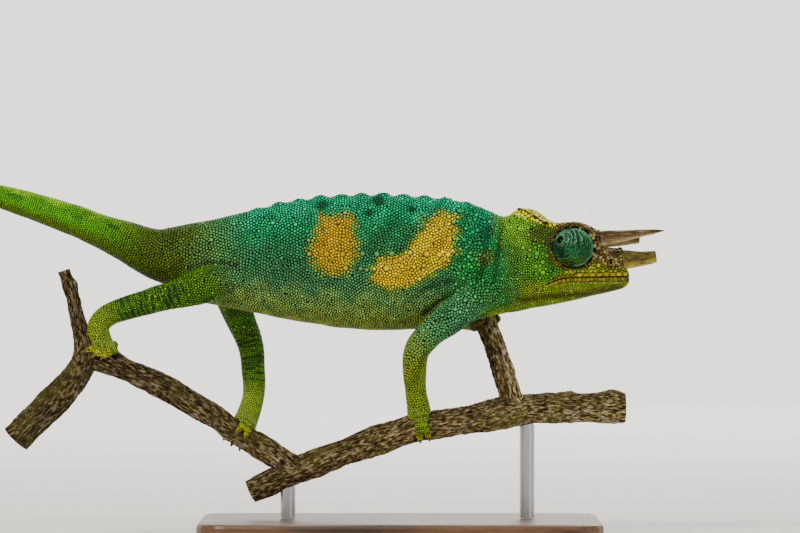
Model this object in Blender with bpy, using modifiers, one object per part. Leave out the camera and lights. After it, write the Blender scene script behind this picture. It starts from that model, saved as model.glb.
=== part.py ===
"""A life-size male three-horned chameleon, gripping a short cut length of branch on a display stand.

Every size and place below is in millimetres, in the model's own frame: +X towards the snout, +Y to the
animal's left, +Z up, with the origin at the middle of the underside of the stand's base.
"""

import math

import bmesh
import bpy
from mathutils import Matrix, Vector

MM = 0.001
GAP = 0.3
SLIVER = 0.01
ACROSS = Vector((0, 1, 0))
UP = Vector((0, 0, 1))
RIGHT, LEFT = -1, 1
SIDE_NAMES = {RIGHT: "right", LEFT: "left"}

# Trunk and head, from the tail's root to the snout's tip: place along X, top, underside, half width,
# share of the height where it is widest, and squareness of the upper and of the lower half.
BODY = (
    (-77.6, 103.3, 84.2, 7.0, 0.50, 2.0, 2.0),
    (-69.3, 104.6, 79.6, 8.0, 0.48, 1.9, 2.1),
    (-61.0, 106.2, 77.4, 8.8, 0.46, 1.8, 2.2),
    (-49.5, 108.9, 75.2, 9.7, 0.43, 1.7, 2.2),
    (-33.0, 112.4, 71.9, 11.0, 0.40, 1.6, 2.2),
    (-11.0, 114.0, 69.2, 12.0, 0.40, 1.6, 2.2),
    (10.0, 113.2, 69.8, 11.2, 0.41, 1.6, 2.2),
    (18.0, 112.2, 71.0, 10.2, 0.42, 1.6, 2.2),
    (24.8, 110.8, 72.3, 9.2, 0.43, 1.6, 2.1),
    (29.7, 108.8, 73.6, 8.5, 0.45, 1.7, 2.1),
    (34.6, 106.9, 74.7, 8.2, 0.48, 1.8, 2.0),
    (37.0, 108.2, 75.0, 8.4, 0.48, 1.6, 2.0),
    (39.3, 109.8, 75.3, 8.8, 0.48, 1.5, 2.0),
    (42.9, 109.6, 76.2, 9.3, 0.48, 1.5, 2.0),
    (46.5, 108.0, 76.8, 9.6, 0.48, 1.7, 2.0),
    (50.0, 105.3, 77.4, 9.5, 0.48, 2.2, 2.0),
    (54.8, 104.6, 78.4, 9.0, 0.48, 3.8, 2.0),
    (58.1, 104.5, 79.1, 8.5, 0.47, 4.6, 2.0),
    (61.7, 103.3, 80.0, 7.9, 0.45, 4.6, 2.0),
    (64.7, 100.7, 80.7, 7.3, 0.43, 3.6, 2.0),
    (67.5, 97.6, 81.3, 6.6, 0.42, 2.8, 2.0),
    (70.0, 95.6, 81.9, 5.7, 0.42, 2.2, 2.0),
    (72.6, 93.2, 82.6, 4.6, 0.42, 2.2, 2.0),
    (74.5, 90.4, 83.4, 3.3, 0.42, 2.1, 2.0),
    (75.7, 87.9, 84.9, 1.2, 0.45, 2.0, 2.0),
)
TRUNK_PARTS = (  # node, rear end, front end, distance between rings, points round
    ("pelvis", -77.4, -54.0, 3.4, 20),
    ("torso", -54.0, 26.0, 3.4, 24),
    ("neck", 26.0, 36.4, 2.2, 24),
)
HEAD_SPAN = (36.4, 75.7)
HEAD_STEP, HEAD_ROUND = 1.75, 26

# The wavy keel of the back: low rounded knobs along the ridge.
KNOB_SPAN, KNOB_PITCH = (-47.0, 22.0), 6.9
KNOB_LENGTH, KNOB_WIDTH, KNOB_HEIGHT, KNOB_SUNK = 6.0, 3.8, 4.0, 1.1

# The head's own forms.
EYE = Vector((56.8, -7.3, 96.5))
EYE_SIZE = Vector((6.5, 5.3, 6.3))
GAZE = {RIGHT: Vector((-0.60, -0.72, 0.36)), LEFT: Vector((0.25, 0.95, 0.10))}
LID_RING, LID_LIFT = 2.0, 0.55
PUPIL_HOLE, PUPIL_DEPTH, EYEBALL = 1.25, 1.7, 0.92
RIM_RADIUS, RIM_THICK, RIM_STEPS, RIM_ROUND = 6.9, 0.95, 18, 5
SIDE_CREST = (  # from the horn's root over the eye to the casque's peak: x, z, radius
    (66.0, 98.6, 1.5),
    (62.6, 102.3, 1.3),
    (57.5, 104.0, 1.25),
    (52.6, 103.6, 1.2),
    (48.4, 104.0, 1.15),
    (44.6, 105.9, 1.1),
    (41.2, 107.9, 1.05),
    (38.8, 109.1, 1.0),
)
CREST_PROUD = 0.3
MOUTH_CORNER, MOUTH_BEND, MOUTH_TIP = (48.0, 84.3), (52.4, 86.6), (78.0, 86.9)
JAW_HINGE_FOOT = (43.6, 72.0)
LIP_RADIUS, LIP_OFFSET, LIP_END = 0.75, 1.15, 73.6
NOSTRIL, NOSTRIL_RADIUS = Vector((69.3, 0, 91.4)), 0.6

# Horns: centreline and radius from inside the head to the tip.
SNOUT_HORN = (
    (67.0, 0, 92.6, 3.5),
    (74.3, 0, 92.6, 3.2),
    (79.0, 0, 92.8, 2.6),
    (84.3, 0, 93.5, 2.05),
)
BROW_HORN = (
    (61.5, 4.3, 98.6, 2.8),
    (67.3, 4.7, 99.7, 2.5),
    (73.6, 5.0, 100.4, 1.9),
    (79.2, 5.3, 101.2, 1.3),
    (84.0, 5.6, 101.8, 0.75),
    (86.7, 5.8, 102.1, 0.28),
)
BROKEN_BROW_HORN = (
    (61.5, 4.3, 98.2, 2.8),
    (67.3, 4.7, 98.9, 2.5),
    (73.6, 5.1, 99.1, 2.0),
    (79.0, 5.5, 99.4, 1.5),
)
HORN_RING_PITCH, HORN_RING_DEPTH = 1.7, 0.03
PEDESTALS = (  # scaly cones that the horns grow from: start, end, radius at each
    (Vector((62.0, 0, 92.0)), Vector((73.6, 0, 92.6)), 4.6, 3.9),
    (Vector((60.0, 4.0, 98.6)), Vector((66.3, 4.6, 99.5)), 3.8, 3.1),
    (Vector((60.0, -4.0, 98.6)), Vector((66.3, -4.6, 99.5)), 3.8, 3.1),
)

# Tail: centreline with half height and half width, straight out behind and then curled under.
TAIL = (
    (-76.0, 0, 93.6, 9.6, 7.0),
    (-81.5, 0, 94.8, 8.4, 6.4),
    (-89.1, 0, 98.0, 7.0, 5.7),
    (-96.7, 0, 101.1, 6.0, 5.1),
    (-105.6, 0.2, 104.8, 5.4, 4.7),
    (-114.3, 0.5, 107.9, 5.0, 4.4),
    (-123.8, 1.0, 111.0, 4.5, 4.0),
    (-132.0, 1.6, 113.4, 4.1, 3.7),
    (-141.0, 2.4, 115.1, 3.7, 3.4),
    (-150.0, 3.4, 115.0, 3.3, 3.1),
    (-158.0, 4.5, 111.8, 3.0, 2.8),
    (-163.3, 5.6, 105.4, 2.65, 2.5),
    (-164.4, 6.6, 97.8, 2.35, 2.2),
    (-161.2, 7.5, 91.2, 2.05, 1.95),
    (-154.8, 8.2, 88.2, 1.8, 1.7),
    (-148.4, 8.7, 90.0, 1.5, 1.45),
    (-145.3, 9.0, 94.9, 1.25, 1.2),
    (-147.2, 9.2, 99.6, 1.0, 0.95),
    (-151.3, 9.3, 100.6, 0.7, 0.65),
    (-153.6, 9.3, 98.8, 0.4, 0.4),
)
TAIL_CUTS = (1.6, 26.0, 56.0, 76.0, 91.0, 106.0, 121.0, None)
TAIL_STEP, TAIL_ROUND = 4.2, 14

# Perch: the lengths of branch that the feet hold, each a centreline with its radius.
PERCH = {
    "perch_front": (
        (-49.5, 4.0, 15.9, 4.0),
        (-41.0, 3.2, 19.8, 4.4),
        (-33.0, 2.0, 23.4, 4.8),
        (-16.5, -2.0, 29.7, 4.8),
        (0.0, -4.7, 35.6, 4.9),
        (6.6, -5.0, 37.4, 4.9),
        (14.5, -4.2, 38.6, 5.0),
        (27.4, -1.2, 40.6, 5.0),
        (38.0, 1.4, 42.7, 5.6),
        (46.2, 2.6, 43.4, 5.4),
        (59.4, 3.4, 43.6, 5.1),
        (74.5, 4.0, 43.3, 4.9),
    ),
    "perch_rear": (
        (-101.0, -5.0, 60.9, 4.6),
        (-95.0, -5.0, 58.7, 4.6),
        (-89.1, -4.0, 55.8, 4.2),
        (-78.2, -2.5, 50.8, 4.2),
        (-70.0, -1.0, 45.9, 4.3),
        (-61.0, 0.5, 40.6, 4.1),
        (-54.5, 1.5, 36.0, 4.1),
        (-46.2, 2.4, 30.7, 4.2),
        (-34.0, 2.4, 23.4, 4.3),
    ),
    "perch_fork": (
        (-126.5, -3.0, 33.4, 5.0),
        (-120.5, -3.5, 39.6, 5.2),
        (-112.2, -4.0, 47.9, 5.1),
        (-106.2, -4.8, 54.8, 5.1),
        (-103.4, -5.6, 60.6, 4.3),
        (-104.0, -6.6, 66.6, 3.3),
        (-106.0, -7.0, 73.5, 2.6),
        (-107.9, -7.0, 81.5, 2.5),
        (-110.4, -7.0, 89.0, 2.4),
    ),
    "perch_front_twig": (
        (39.0, 1.4, 41.5, 5.2),
        (36.6, 2.2, 47.5, 4.3),
        (34.6, 4.0, 54.0, 4.0),
        (31.6, 6.8, 63.4, 3.8),
        (28.8, 10.0, 71.0, 3.6),
        (27.5, 12.0, 77.0, 3.4),
    ),
}
PERCH_STEP, PERCH_ROUND, PERCH_WOBBLE = 5.6, 10, 0.045
PERCH_MEETS = {  # each length of branch gives way to those that it grows from
    "perch_rear": ("perch_front", "perch_fork"),
    "perch_front_twig": ("perch_front",),
}

# Limbs: centreline and radius from inside the trunk to the sole, the knots where the elbow or knee and
# the wrist or ankle part it, the length of perch that the foot holds, how many toes close round it on
# each side and how far round in degrees, and how far they slant along it.
LIMBS = {
    "fore_right": {
        "parts": ("upper_arm_right", "forearm_right", "hand_right"),
        "knots": (
            (28.5, -3.0, 83.0, 6.0),
            (22.0, -9.2, 78.0, 5.5),
            (15.8, -12.6, 72.8, 5.2),
            (10.0, -14.0, 68.3, 4.7),
            (5.6, -13.8, 63.0, 4.4),
            (4.8, -12.0, 56.0, 4.1),
            (5.2, -9.3, 49.0, 3.6),
            (6.2, -6.4, 43.6, 4.0),
            (6.7, -5.2, 39.0, 4.4),
        ),
        "splits": (4, 6),
        "perch": "perch_front",
        "toes": {RIGHT: 2, LEFT: 3},
        "reach": {RIGHT: 112, LEFT: 112},
        "drift": 0.0,
    },
    "fore_left": {
        "parts": ("upper_arm_left", "forearm_left", "hand_left"),
        "knots": (
            (28.5, 2.5, 85.0, 6.0),
            (22.0, 10.2, 85.6, 5.4),
            (14.6, 17.4, 84.0, 4.9),
            (9.6, 21.6, 80.4, 4.4),
            (11.4, 23.8, 76.0, 4.2),
            (17.0, 23.2, 73.6, 4.0),
            (22.8, 20.6, 72.4, 3.6),
            (26.6, 16.6, 72.5, 3.8),
            (28.2, 12.2, 73.2, 4.2),
        ),
        "splits": (2.75, 6),
        "perch": "perch_front_twig",
        "toes": {RIGHT: 3, LEFT: 2},
        "reach": {RIGHT: 128, LEFT: 128},
        "drift": 0.0,
    },
    "hind_right": {
        "parts": ("thigh_right", "shank_right", "foot_right"),
        "knots": (
            (-55.5, -2.0, 87.5, 6.6),
            (-63.5, -8.3, 84.2, 6.0),
            (-72.0, -11.2, 81.6, 5.1),
            (-80.0, -11.6, 79.5, 4.5),
            (-88.6, -10.6, 77.0, 4.1),
            (-95.8, -9.0, 74.3, 3.9),
            (-99.2, -7.6, 70.4, 3.8),
            (-98.6, -6.2, 66.0, 4.1),
            (-97.2, -5.2, 61.4, 4.5),
        ),
        "splits": (3, 5.2),
        "perch": "perch_rear",
        "toes": {RIGHT: 3, LEFT: 2},
        "reach": {RIGHT: 66, LEFT: 104},
        "drift": -3.6,
    },
    "hind_left": {
        "parts": ("thigh_left", "shank_left", "foot_left"),
        "knots": (
            (-57.0, 2.5, 87.5, 6.6),
            (-56.0, 9.4, 80.6, 5.9),
            (-53.0, 13.0, 72.4, 5.0),
            (-50.0, 13.8, 64.6, 4.5),
            (-48.8, 12.2, 56.0, 4.1),
            (-48.6, 9.2, 47.4, 3.8),
            (-50.2, 6.4, 41.6, 4.0),
            (-52.2, 3.4, 36.6, 4.4),
        ),
        "splits": (3, 5),
        "perch": "perch_rear",
        "toes": {RIGHT: 2, LEFT: 3},
        "reach": {RIGHT: 112, LEFT: 112},
        "drift": 0.0,
    },
}
LIMB_STEP, LIMB_ROUND = 3.6, 12
BEND_GAP = 0.2  # least room kept on the inner side of an elbow or knee
TOE_START, TOE_ROOT, TOE_END, TOE_SPACING, TOE_SPLAY = 18, 1.8, 1.25, 2.3, 0.3
TOE_STEPS, TOE_ROUND = 5, 6
CLAW_LENGTH, CLAW_RADIUS = 2.1, 0.46

# Stand.
BASE_SIZE, BASE_CORNER, BASE_CHAMFER = Vector((132, 74, 7)), 9.0, 1.2
RODS = {  # x, y, length of perch that each carries
    "stand_rod_rear": (-37.0, 2.4, "perch_front"),
    "stand_rod_front": (42.0, 2.0, "perch_front"),
}
ROD_RADIUS, ROD_ROUND, ROD_REACH = 2.5, 24, 42.0

FINISHES = {  # linear colour, roughness, metallic
    "green_scales": ((0.03, 0.24, 0.07), 0.55, 0.0),
    "lime_scales": ((0.12, 0.33, 0.03), 0.55, 0.0),
    "eyelid_scales": ((0.03, 0.17, 0.10), 0.5, 0.0),
    "wet_eye": ((0.01, 0.008, 0.006), 0.08, 0.0),
    "horn": ((0.30, 0.20, 0.09), 0.5, 0.0),
    "bark": ((0.16, 0.10, 0.05), 0.85, 0.0),
    "walnut": ((0.09, 0.045, 0.02), 0.45, 0.0),
    "steel": ((0.55, 0.55, 0.55), 0.3, 1.0),
}


def between(table, key):
    """The row of a table at a key, on smooth curves through its rows, without the key itself."""
    last = len(table) - 1
    i = max(0, min(last - 1, sum(row[0] <= key for row in table) - 1))
    low, high = table[i], table[i + 1]
    before, after = table[max(i - 1, 0)], table[min(i + 2, last)]
    span = high[0] - low[0]
    t = (key - low[0]) / span
    row = []
    for n in range(1, len(low)):
        leave = (high[n] - before[n]) / (high[0] - before[0]) * span
        arrive = (after[n] - low[n]) / (after[0] - low[0]) * span
        row.append(
            (2 * t**3 - 3 * t**2 + 1) * low[n]
            + (t**3 - 2 * t**2 + t) * leave
            + (3 * t**2 - 2 * t**3) * high[n]
            + (t**3 - t**2) * arrive
        )
    return row


def route(knots):
    """The knots as a table keyed by the distance along them."""
    table = []
    far = 0.0
    for i, knot in enumerate(knots):
        if i:
            far += (Vector(knot[:3]) - Vector(knots[i - 1][:3])).length
        table.append((far, *knot))
    return table


def heading(table, far):
    """The unit direction of a route at a distance along it."""
    reach = 0.2
    far = max(0.0, min(far, table[-1][0]))
    ahead = Vector(between(table, min(far + reach, table[-1][0]))[:3])
    behind = Vector(between(table, max(far - reach, 0.0))[:3])
    return (ahead - behind).normalized()


def finish(name):
    """The material of that name, made once."""
    found = bpy.data.materials.get(name)
    if found:
        return found
    colour, roughness, metallic = FINISHES[name]
    material = bpy.data.materials.new(name)
    material.use_nodes = True
    shader = material.node_tree.nodes["Principled BSDF"]
    shader.inputs["Base Color"].default_value = (*colour, 1)
    shader.inputs["Roughness"].default_value = roughness
    shader.inputs["Metallic"].default_value = metallic
    material.diffuse_color = (*colour, 1)
    return material


def new_object(name, mesh, material=None):
    """An object of that mesh in the model's collection."""
    made = bpy.data.objects.new(name, mesh)
    MODEL.objects.link(made)
    if material:
        mesh.materials.clear()
        mesh.materials.append(finish(material))
    return made


def solid_from(name, rings, material=None, looped=False):
    """A closed solid through rings of points, with flat ends, or joined end to end into a loop."""
    mesh = bpy.data.meshes.new(name)
    count, last = len(rings[0]), len(rings) - 1
    points = [Vector(p) * MM for ring in rings for p in ring]
    faces = [
        (
            i * count + k,
            i * count + (k + 1) % count,
            (i + 1) % len(rings) * count + (k + 1) % count,
            (i + 1) % len(rings) * count + k,
        )
        for i in range(len(rings) if looped else last)
        for k in range(count)
    ]
    if not looped:
        faces += [tuple(range(count)), tuple(last * count + k for k in range(count))]
    mesh.from_pydata(points, [], faces)
    point_outwards(mesh)
    mesh.shade_smooth()
    return new_object(name, mesh, material)


def point_outwards(mesh):
    """Turns every face of a closed mesh outwards."""
    shape = bmesh.new()
    shape.from_mesh(mesh)
    bmesh.ops.recalc_face_normals(shape, faces=shape.faces)
    shape.to_mesh(mesh)
    shape.free()


def evaluated_copy(thing, name):
    """A new mesh object with the modifiers of another applied."""
    graph = bpy.context.evaluated_depsgraph_get()
    mesh = bpy.data.meshes.new_from_object(thing.evaluated_get(graph))
    mesh.transform(thing.matrix_world)
    return new_object(name, mesh)


def drop(thing):
    bpy.data.objects.remove(thing)


def volume(mesh):
    """The space that a mesh encloses, or zero if it isn't closed with two faces at every edge."""
    shape = bmesh.new()
    shape.from_mesh(mesh)
    closed = len(shape.faces) > 3 and all(len(edge.link_faces) == 2 for edge in shape.edges)
    space = shape.calc_volume(signed=True) if closed else 0.0
    shape.free()
    return space


def apply_boolean(thing, operation, other=None, group=None):
    """Joins, cuts or keeps what is common with another object or collection, and applies it."""
    boolean = thing.modifiers.new("shape", "BOOLEAN")
    boolean.operation = operation
    if group:
        boolean.operand_type = "COLLECTION"
        boolean.collection = group
    else:
        boolean.object = other
    least = volume(thing.data) * 0.1
    for solver in ("EXACT", "MANIFOLD"):
        boolean.solver = solver
        graph = bpy.context.evaluated_depsgraph_get()
        mesh = bpy.data.meshes.new_from_object(thing.evaluated_get(graph))
        if volume(mesh) > least:
            break
    thing.modifiers.clear()
    thing.data = mesh


def fuse(thing, pieces):
    """Joins the pieces to a solid by one union, and removes them."""
    group = bpy.data.collections.new("pieces")
    bpy.context.scene.collection.children.link(group)
    for piece in pieces:
        MODEL.objects.unlink(piece)
        group.objects.link(piece)
    apply_boolean(thing, "UNION", group=group)
    for piece in pieces:
        drop(piece)
    bpy.data.collections.remove(group)


def bounds(mesh):
    """The lowest and the highest corner of a mesh."""
    return [[pick(point.co[axis] for point in mesh.vertices) for axis in range(3)] for pick in (min, max)]


def apart(mesh, other):
    """Whether two meshes lie in boxes with more than the gap between them."""
    (low, high), (other_low, other_high) = bounds(mesh), bounds(other)
    return any(
        low[axis] > other_high[axis] + GAP * MM or other_low[axis] > high[axis] + GAP * MM
        for axis in range(3)
    )


def clear_of(thing, others, gap=GAP):
    """Cuts a solid back from its neighbours, leaving a gap all round them."""
    for other in others:
        if apart(thing.data, other.data):
            continue
        cutter = evaluated_copy(other, "cutter")
        shape = bmesh.new()
        shape.from_mesh(cutter.data)
        shifts = [p.normal * min(p.calc_shell_factor(), 2.0) for p in shape.verts]
        for point, shift in zip(shape.verts, shifts):
            point.co += shift * gap * MM
        shape.to_mesh(cutter.data)
        shape.free()
        apply_boolean(thing, "DIFFERENCE", cutter)
        drop(cutter)
    keep_largest(thing)


def keep_largest(thing):
    """Keeps the largest closed surface of a solid, without the finest slivers where that is sound."""
    shape = bmesh.new()
    shape.from_mesh(thing.data)
    shape.faces.ensure_lookup_table()
    left, islands = set(shape.faces), []
    while left:
        island, edge = set(), [left.pop()]
        while edge:
            face = edge.pop()
            island.add(face)
            for side in face.edges:
                for beside in side.link_faces:
                    if beside in left:
                        left.remove(beside)
                        edge.append(beside)
        islands.append(island)
    islands.sort(key=lambda faces: -sum(face.calc_area() for face in faces))
    for island in islands[1:]:
        bmesh.ops.delete(shape, geom=list(island), context="FACES")
    loose = [v for v in shape.verts if not v.link_faces]
    bmesh.ops.delete(shape, geom=loose, context="VERTS")
    shape.to_mesh(thing.data)
    bmesh.ops.triangulate(shape, faces=shape.faces)
    bmesh.ops.dissolve_degenerate(shape, edges=shape.edges, dist=SLIVER * MM)
    cleaned = bpy.data.meshes.new(thing.name)
    shape.to_mesh(cleaned)
    shape.free()
    if volume(cleaned) > 0:
        for material in thing.data.materials:
            cleaned.materials.append(material)
        thing.data = cleaned


def body_ring(x, count):
    """Points round the trunk or head at a place along it, from the top over the left side."""
    top, low, half, share, upper, lower = between(BODY, x)
    wide = low + (top - low) * share
    ring = []
    for k in range(count):
        turn = 2 * math.pi * k / count
        c, s = math.cos(turn), math.sin(turn)
        square, tall = (upper, top - wide) if c >= 0 else (lower, wide - low)
        y = half * math.copysign(abs(s) ** (2 / square), s)
        ring.append((x, y, wide + tall * math.copysign(abs(c) ** (2 / square), c)))
    return ring


def body_side(x, z):
    """Half width of the trunk or head at a place along it and a height."""
    top, low, half, share, upper, lower = between(BODY, x)
    wide = low + (top - low) * share
    square, tall = (upper, top - wide) if z >= wide else (lower, wide - low)
    off = min(abs(z - wide) / tall, 1.0)
    return half * (1 - off**square) ** (1 / square)


def body_length(name, rear, front, step, count, material="green_scales"):
    """A length of the trunk or head, with half the gap taken off each end."""
    rear, front = rear + GAP / 2, front - GAP / 2
    steps = math.ceil((front - rear) / step)
    places = [rear + (front - rear) * i / steps for i in range(steps + 1)]
    return solid_from(name, [body_ring(x, count) for x in places], material)


def tube(name, table, start, end, step, count, across=ACROSS, material=None, shape=None):
    """A solid along a route. Its rows give the centre, then the half height and, if it differs, half width."""
    steps = max(2, math.ceil((end - start) / step))
    rings = []
    for i in range(steps + 1):
        far = start + (end - start) * i / steps
        x, y, z, high, *rest = between(table, far)
        wide = rest[0] if rest else high
        # The end rings lie square to the route where it is cut, half the gap beyond them.
        beyond = {0: -GAP / 2, steps: GAP / 2}.get(i, 0)
        ahead = heading(table, far + beyond)
        side = (across - ahead * across.dot(ahead)).normalized()
        rise = side.cross(ahead)
        ring = []
        for k in range(count):
            turn = 2 * math.pi * k / count
            swell = shape(far, turn) if shape else 1.0
            reach = rise * high * math.cos(turn) + side * wide * math.sin(turn)
            ring.append(Vector((x, y, z)) + reach * swell)
        rings.append(ring)
    return solid_from(name, rings, material)


def ball(name, radius, count, rings, material=None):
    """A sphere at the origin, with its poles on Z."""
    mesh = bpy.data.meshes.new(name)
    shape = bmesh.new()
    bmesh.ops.create_uvsphere(shape, u_segments=count, v_segments=rings, radius=radius * MM)
    shape.to_mesh(mesh)
    shape.free()
    mesh.shade_smooth()
    return new_object(name, mesh, material)


def turned(name, profile, count, material=None):
    """A profile of (radius, height) turned round Z by a Screw modifier."""
    mesh = bpy.data.meshes.new(name)
    points = [(radius * MM, 0, height * MM) for radius, height in profile]
    mesh.from_pydata(points, [(i, i + 1) for i in range(len(points) - 1)], [])
    guide = new_object("guide", mesh)
    screw = guide.modifiers.new("turn", "SCREW")
    screw.steps = screw.render_steps = count
    screw.use_merge_vertices = True
    screw.merge_threshold = 0.00001
    made = evaluated_copy(guide, name)
    drop(guide)
    if material:
        made.data.materials.append(finish(material))
    point_outwards(made.data)
    return made


def mirrored(knots, side):
    """Knots given for the left side, on the side asked for."""
    return [(x, y * side, z, *rest) for x, y, z, *rest in knots]


def moved(thing, matrix):
    thing.data.transform(matrix)
    return thing


def back_knobs():
    """The knobs of the back's wavy keel, smaller towards the hips and the nape."""
    knobs = []
    count = round((KNOB_SPAN[1] - KNOB_SPAN[0]) / KNOB_PITCH)
    for i in range(count + 1):
        x = KNOB_SPAN[0] + KNOB_PITCH * i
        size = 0.72 + 0.28 * math.sin(math.pi * (i + 1) / (count + 2))
        size *= 1.0 + 0.06 * math.sin(i * 2.4)
        knob = ball("knob", 0.5, 7, 5)
        stretch = Matrix.Diagonal((KNOB_LENGTH * size, KNOB_WIDTH * size, KNOB_HEIGHT * size, 1))
        top = between(BODY, x)[0]
        slope = math.atan2(between(BODY, x + 1)[0] - between(BODY, x - 1)[0], 2)
        tilt = Matrix.Rotation(-slope, 4, "Y")
        place = Matrix.Translation(Vector((x, 0, top - KNOB_SUNK)) * MM)
        knobs.append(moved(knob, place @ tilt @ stretch))
    return knobs


def make_trunk():
    for name, rear, front, step, count in TRUNK_PARTS:
        body_length(name, rear, front, step, count)
    fuse(bpy.data.objects["torso"], back_knobs())
    keep_largest(bpy.data.objects["torso"])


def cone_between(start, end, radius, end_radius, count=14):
    """A tapered solid from one point to another."""
    table = route([(*start, radius), (*end, end_radius)])
    return tube("cone", table, 0.0, table[-1][0], table[-1][0] / 2, count)


def ring_round_eye(side):
    """The raised rim of the eye socket, a closed ring that follows the side of the head."""
    knots = []
    for k in range(RIM_STEPS):
        turn = 2 * math.pi * k / RIM_STEPS
        x = EYE.x + RIM_RADIUS * math.cos(turn)
        z = EYE.z + RIM_RADIUS * math.sin(turn)
        knots.append(Vector((x, side * (body_side(x, z) * 0.4 + abs(EYE.y) * 0.58), z)))
    rings = []
    for k in range(RIM_STEPS):
        ahead = (knots[(k + 1) % RIM_STEPS] - knots[k - 1]).normalized()
        out = ACROSS.cross(ahead).normalized()
        turns = [2 * math.pi * j / RIM_ROUND for j in range(RIM_ROUND)]
        rings.append([
            knots[k] + (out * math.cos(t) + ACROSS * math.sin(t)) * RIM_THICK for t in turns
        ])
    return solid_from("rim", rings, looped=True)


def lip(side, above):
    """The rounded edge of the upper or the lower lip along one side."""
    knots = []
    start, steps = MOUTH_BEND[0] - 1.5, 7
    for i in range(steps + 1):
        x = start + (LIP_END - start) * i / steps
        z = mouth_height(x) + above * LIP_OFFSET
        knots.append((x, side * (body_side(x, z) - 0.32), z, LIP_RADIUS))
    table = route(knots)
    return tube("lip", table, 0.0, table[-1][0], 3.6, 5)


def mouth_height(x):
    """Height of the line of the mouth in front of its bend."""
    share = (x - MOUTH_BEND[0]) / (MOUTH_TIP[0] - MOUTH_BEND[0])
    return MOUTH_BEND[1] + (MOUTH_TIP[1] - MOUTH_BEND[1]) * max(share, 0)


def jaw_block(grow):
    """The wedge that parts the lower jaw from the head, moved outwards by half the gap or inwards."""
    outline = [
        (JAW_HINGE_FOOT[0] - grow, JAW_HINGE_FOOT[1]),
        (MOUTH_CORNER[0] - grow, MOUTH_CORNER[1] + grow),
        (MOUTH_BEND[0] - grow * 0.4, MOUTH_BEND[1] + grow),
        (MOUTH_TIP[0], MOUTH_TIP[1] + grow),
        (MOUTH_TIP[0], JAW_HINGE_FOOT[1]),
    ]
    rings = [[(x, y, z) for x, z in outline] for y in (-14, 14)]
    return solid_from("block", rings)


def make_head():
    head = body_length("head", *HEAD_SPAN, HEAD_STEP, HEAD_ROUND)
    pieces = [cone_between(*row) for row in PEDESTALS]
    for side in (RIGHT, LEFT):
        crest = route([
            (x, side * (body_side(x, z) + CREST_PROUD * radius), z, radius)
            for x, z, radius in SIDE_CREST
        ])
        pieces.append(tube("crest", crest, 0.0, crest[-1][0], 3.4, 6))
        pieces.append(ring_round_eye(side))
        pieces += [lip(side, 1), lip(side, -1)]
    fuse(head, pieces)
    keep_largest(head)
    for side in (RIGHT, LEFT):
        socket = ball("socket", 1.0, 20, 12)
        place = Matrix.Translation(Vector((EYE.x, -side * EYE.y, EYE.z)) * MM)
        size = [s + GAP for s in EYE_SIZE]
        apply_boolean(head, "DIFFERENCE", moved(socket, place @ Matrix.Diagonal((*size, 1))))
        drop(socket)
        out = Vector((0.35, side, 0.15)).normalized()
        side_y = side * body_side(NOSTRIL.x, NOSTRIL.z)
        start = Vector((NOSTRIL.x, side_y, NOSTRIL.z)) - out
        pit = cone_between(start, start + out * 2.6, NOSTRIL_RADIUS, NOSTRIL_RADIUS, 8)
        apply_boolean(head, "DIFFERENCE", pit)
        drop(pit)
    jaw = evaluated_copy(head, "lower_jaw")
    inner, outer = jaw_block(-GAP / 2), jaw_block(GAP / 2)
    apply_boolean(jaw, "INTERSECT", inner)
    apply_boolean(head, "DIFFERENCE", outer)
    drop(inner)
    drop(outer)
    keep_largest(jaw)
    keep_largest(head)


def make_eye(side):
    """A turret of fused lids that ends in a small ring, and the eyeball in it."""
    gaze = GAZE[side].normalized()
    facing = UP.rotation_difference(gaze).to_matrix().to_4x4()
    centre = Vector((EYE.x, -side * EYE.y, EYE.z))
    flat = Matrix.Translation(centre * MM) @ Matrix.Diagonal((*EYE_SIZE, 1)) @ facing
    # The profile is of a sphere of radius 1, pole first, with the lid's ring and the pupil's hole.
    hole = PUPIL_HOLE / EYE_SIZE.x
    ring = LID_RING / EYE_SIZE.x
    profile = [
        (0.0, 1.0 - PUPIL_DEPTH / EYE_SIZE.x),
        (hole, 1.0 - PUPIL_DEPTH / EYE_SIZE.x),
        (hole, 1.0 + LID_LIFT / EYE_SIZE.x),
        ((hole + ring) / 2, 1.0 + LID_LIFT * 1.1 / EYE_SIZE.x),
        (ring, math.cos(math.asin(ring)) + 0.01),
    ]
    rings = 7
    first = math.asin(ring) * 1.6
    for i in range(rings + 1):
        turn = first + (math.pi - first) * i / rings
        profile.append((math.sin(turn) if i < rings else 0.0, math.cos(turn)))
    turret = turned("eye_turret_" + SIDE_NAMES[side], profile, 18, "eyelid_scales")
    moved(turret, flat)
    eyeball = ball("eyeball_" + SIDE_NAMES[side], EYEBALL, 10, 8, "wet_eye")
    lift = 1.0 - (PUPIL_DEPTH - EYEBALL - GAP) / EYE_SIZE.x
    place = Matrix.Diagonal((*EYE_SIZE, 1)) @ facing @ Vector((0, 0, lift))
    moved(eyeball, Matrix.Translation((centre + place) * MM))


def horn(name, knots):
    """A horn with low rings along it, cut to stand on the head."""
    table = route(knots)

    def ringed(far, _turn):
        return 1.0 + HORN_RING_DEPTH * math.cos(2 * math.pi * far / HORN_RING_PITCH)

    made = tube(name, table, 0.0, table[-1][0], HORN_RING_PITCH / 2, 8, material="horn", shape=ringed)
    clear_of(made, [bpy.data.objects["head"]])
    return made


def make_horns():
    horn("horn_snout", SNOUT_HORN)
    horn("horn_brow_right", mirrored(BROW_HORN, RIGHT))
    horn("horn_brow_left", mirrored(BROKEN_BROW_HORN, LEFT))


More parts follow.
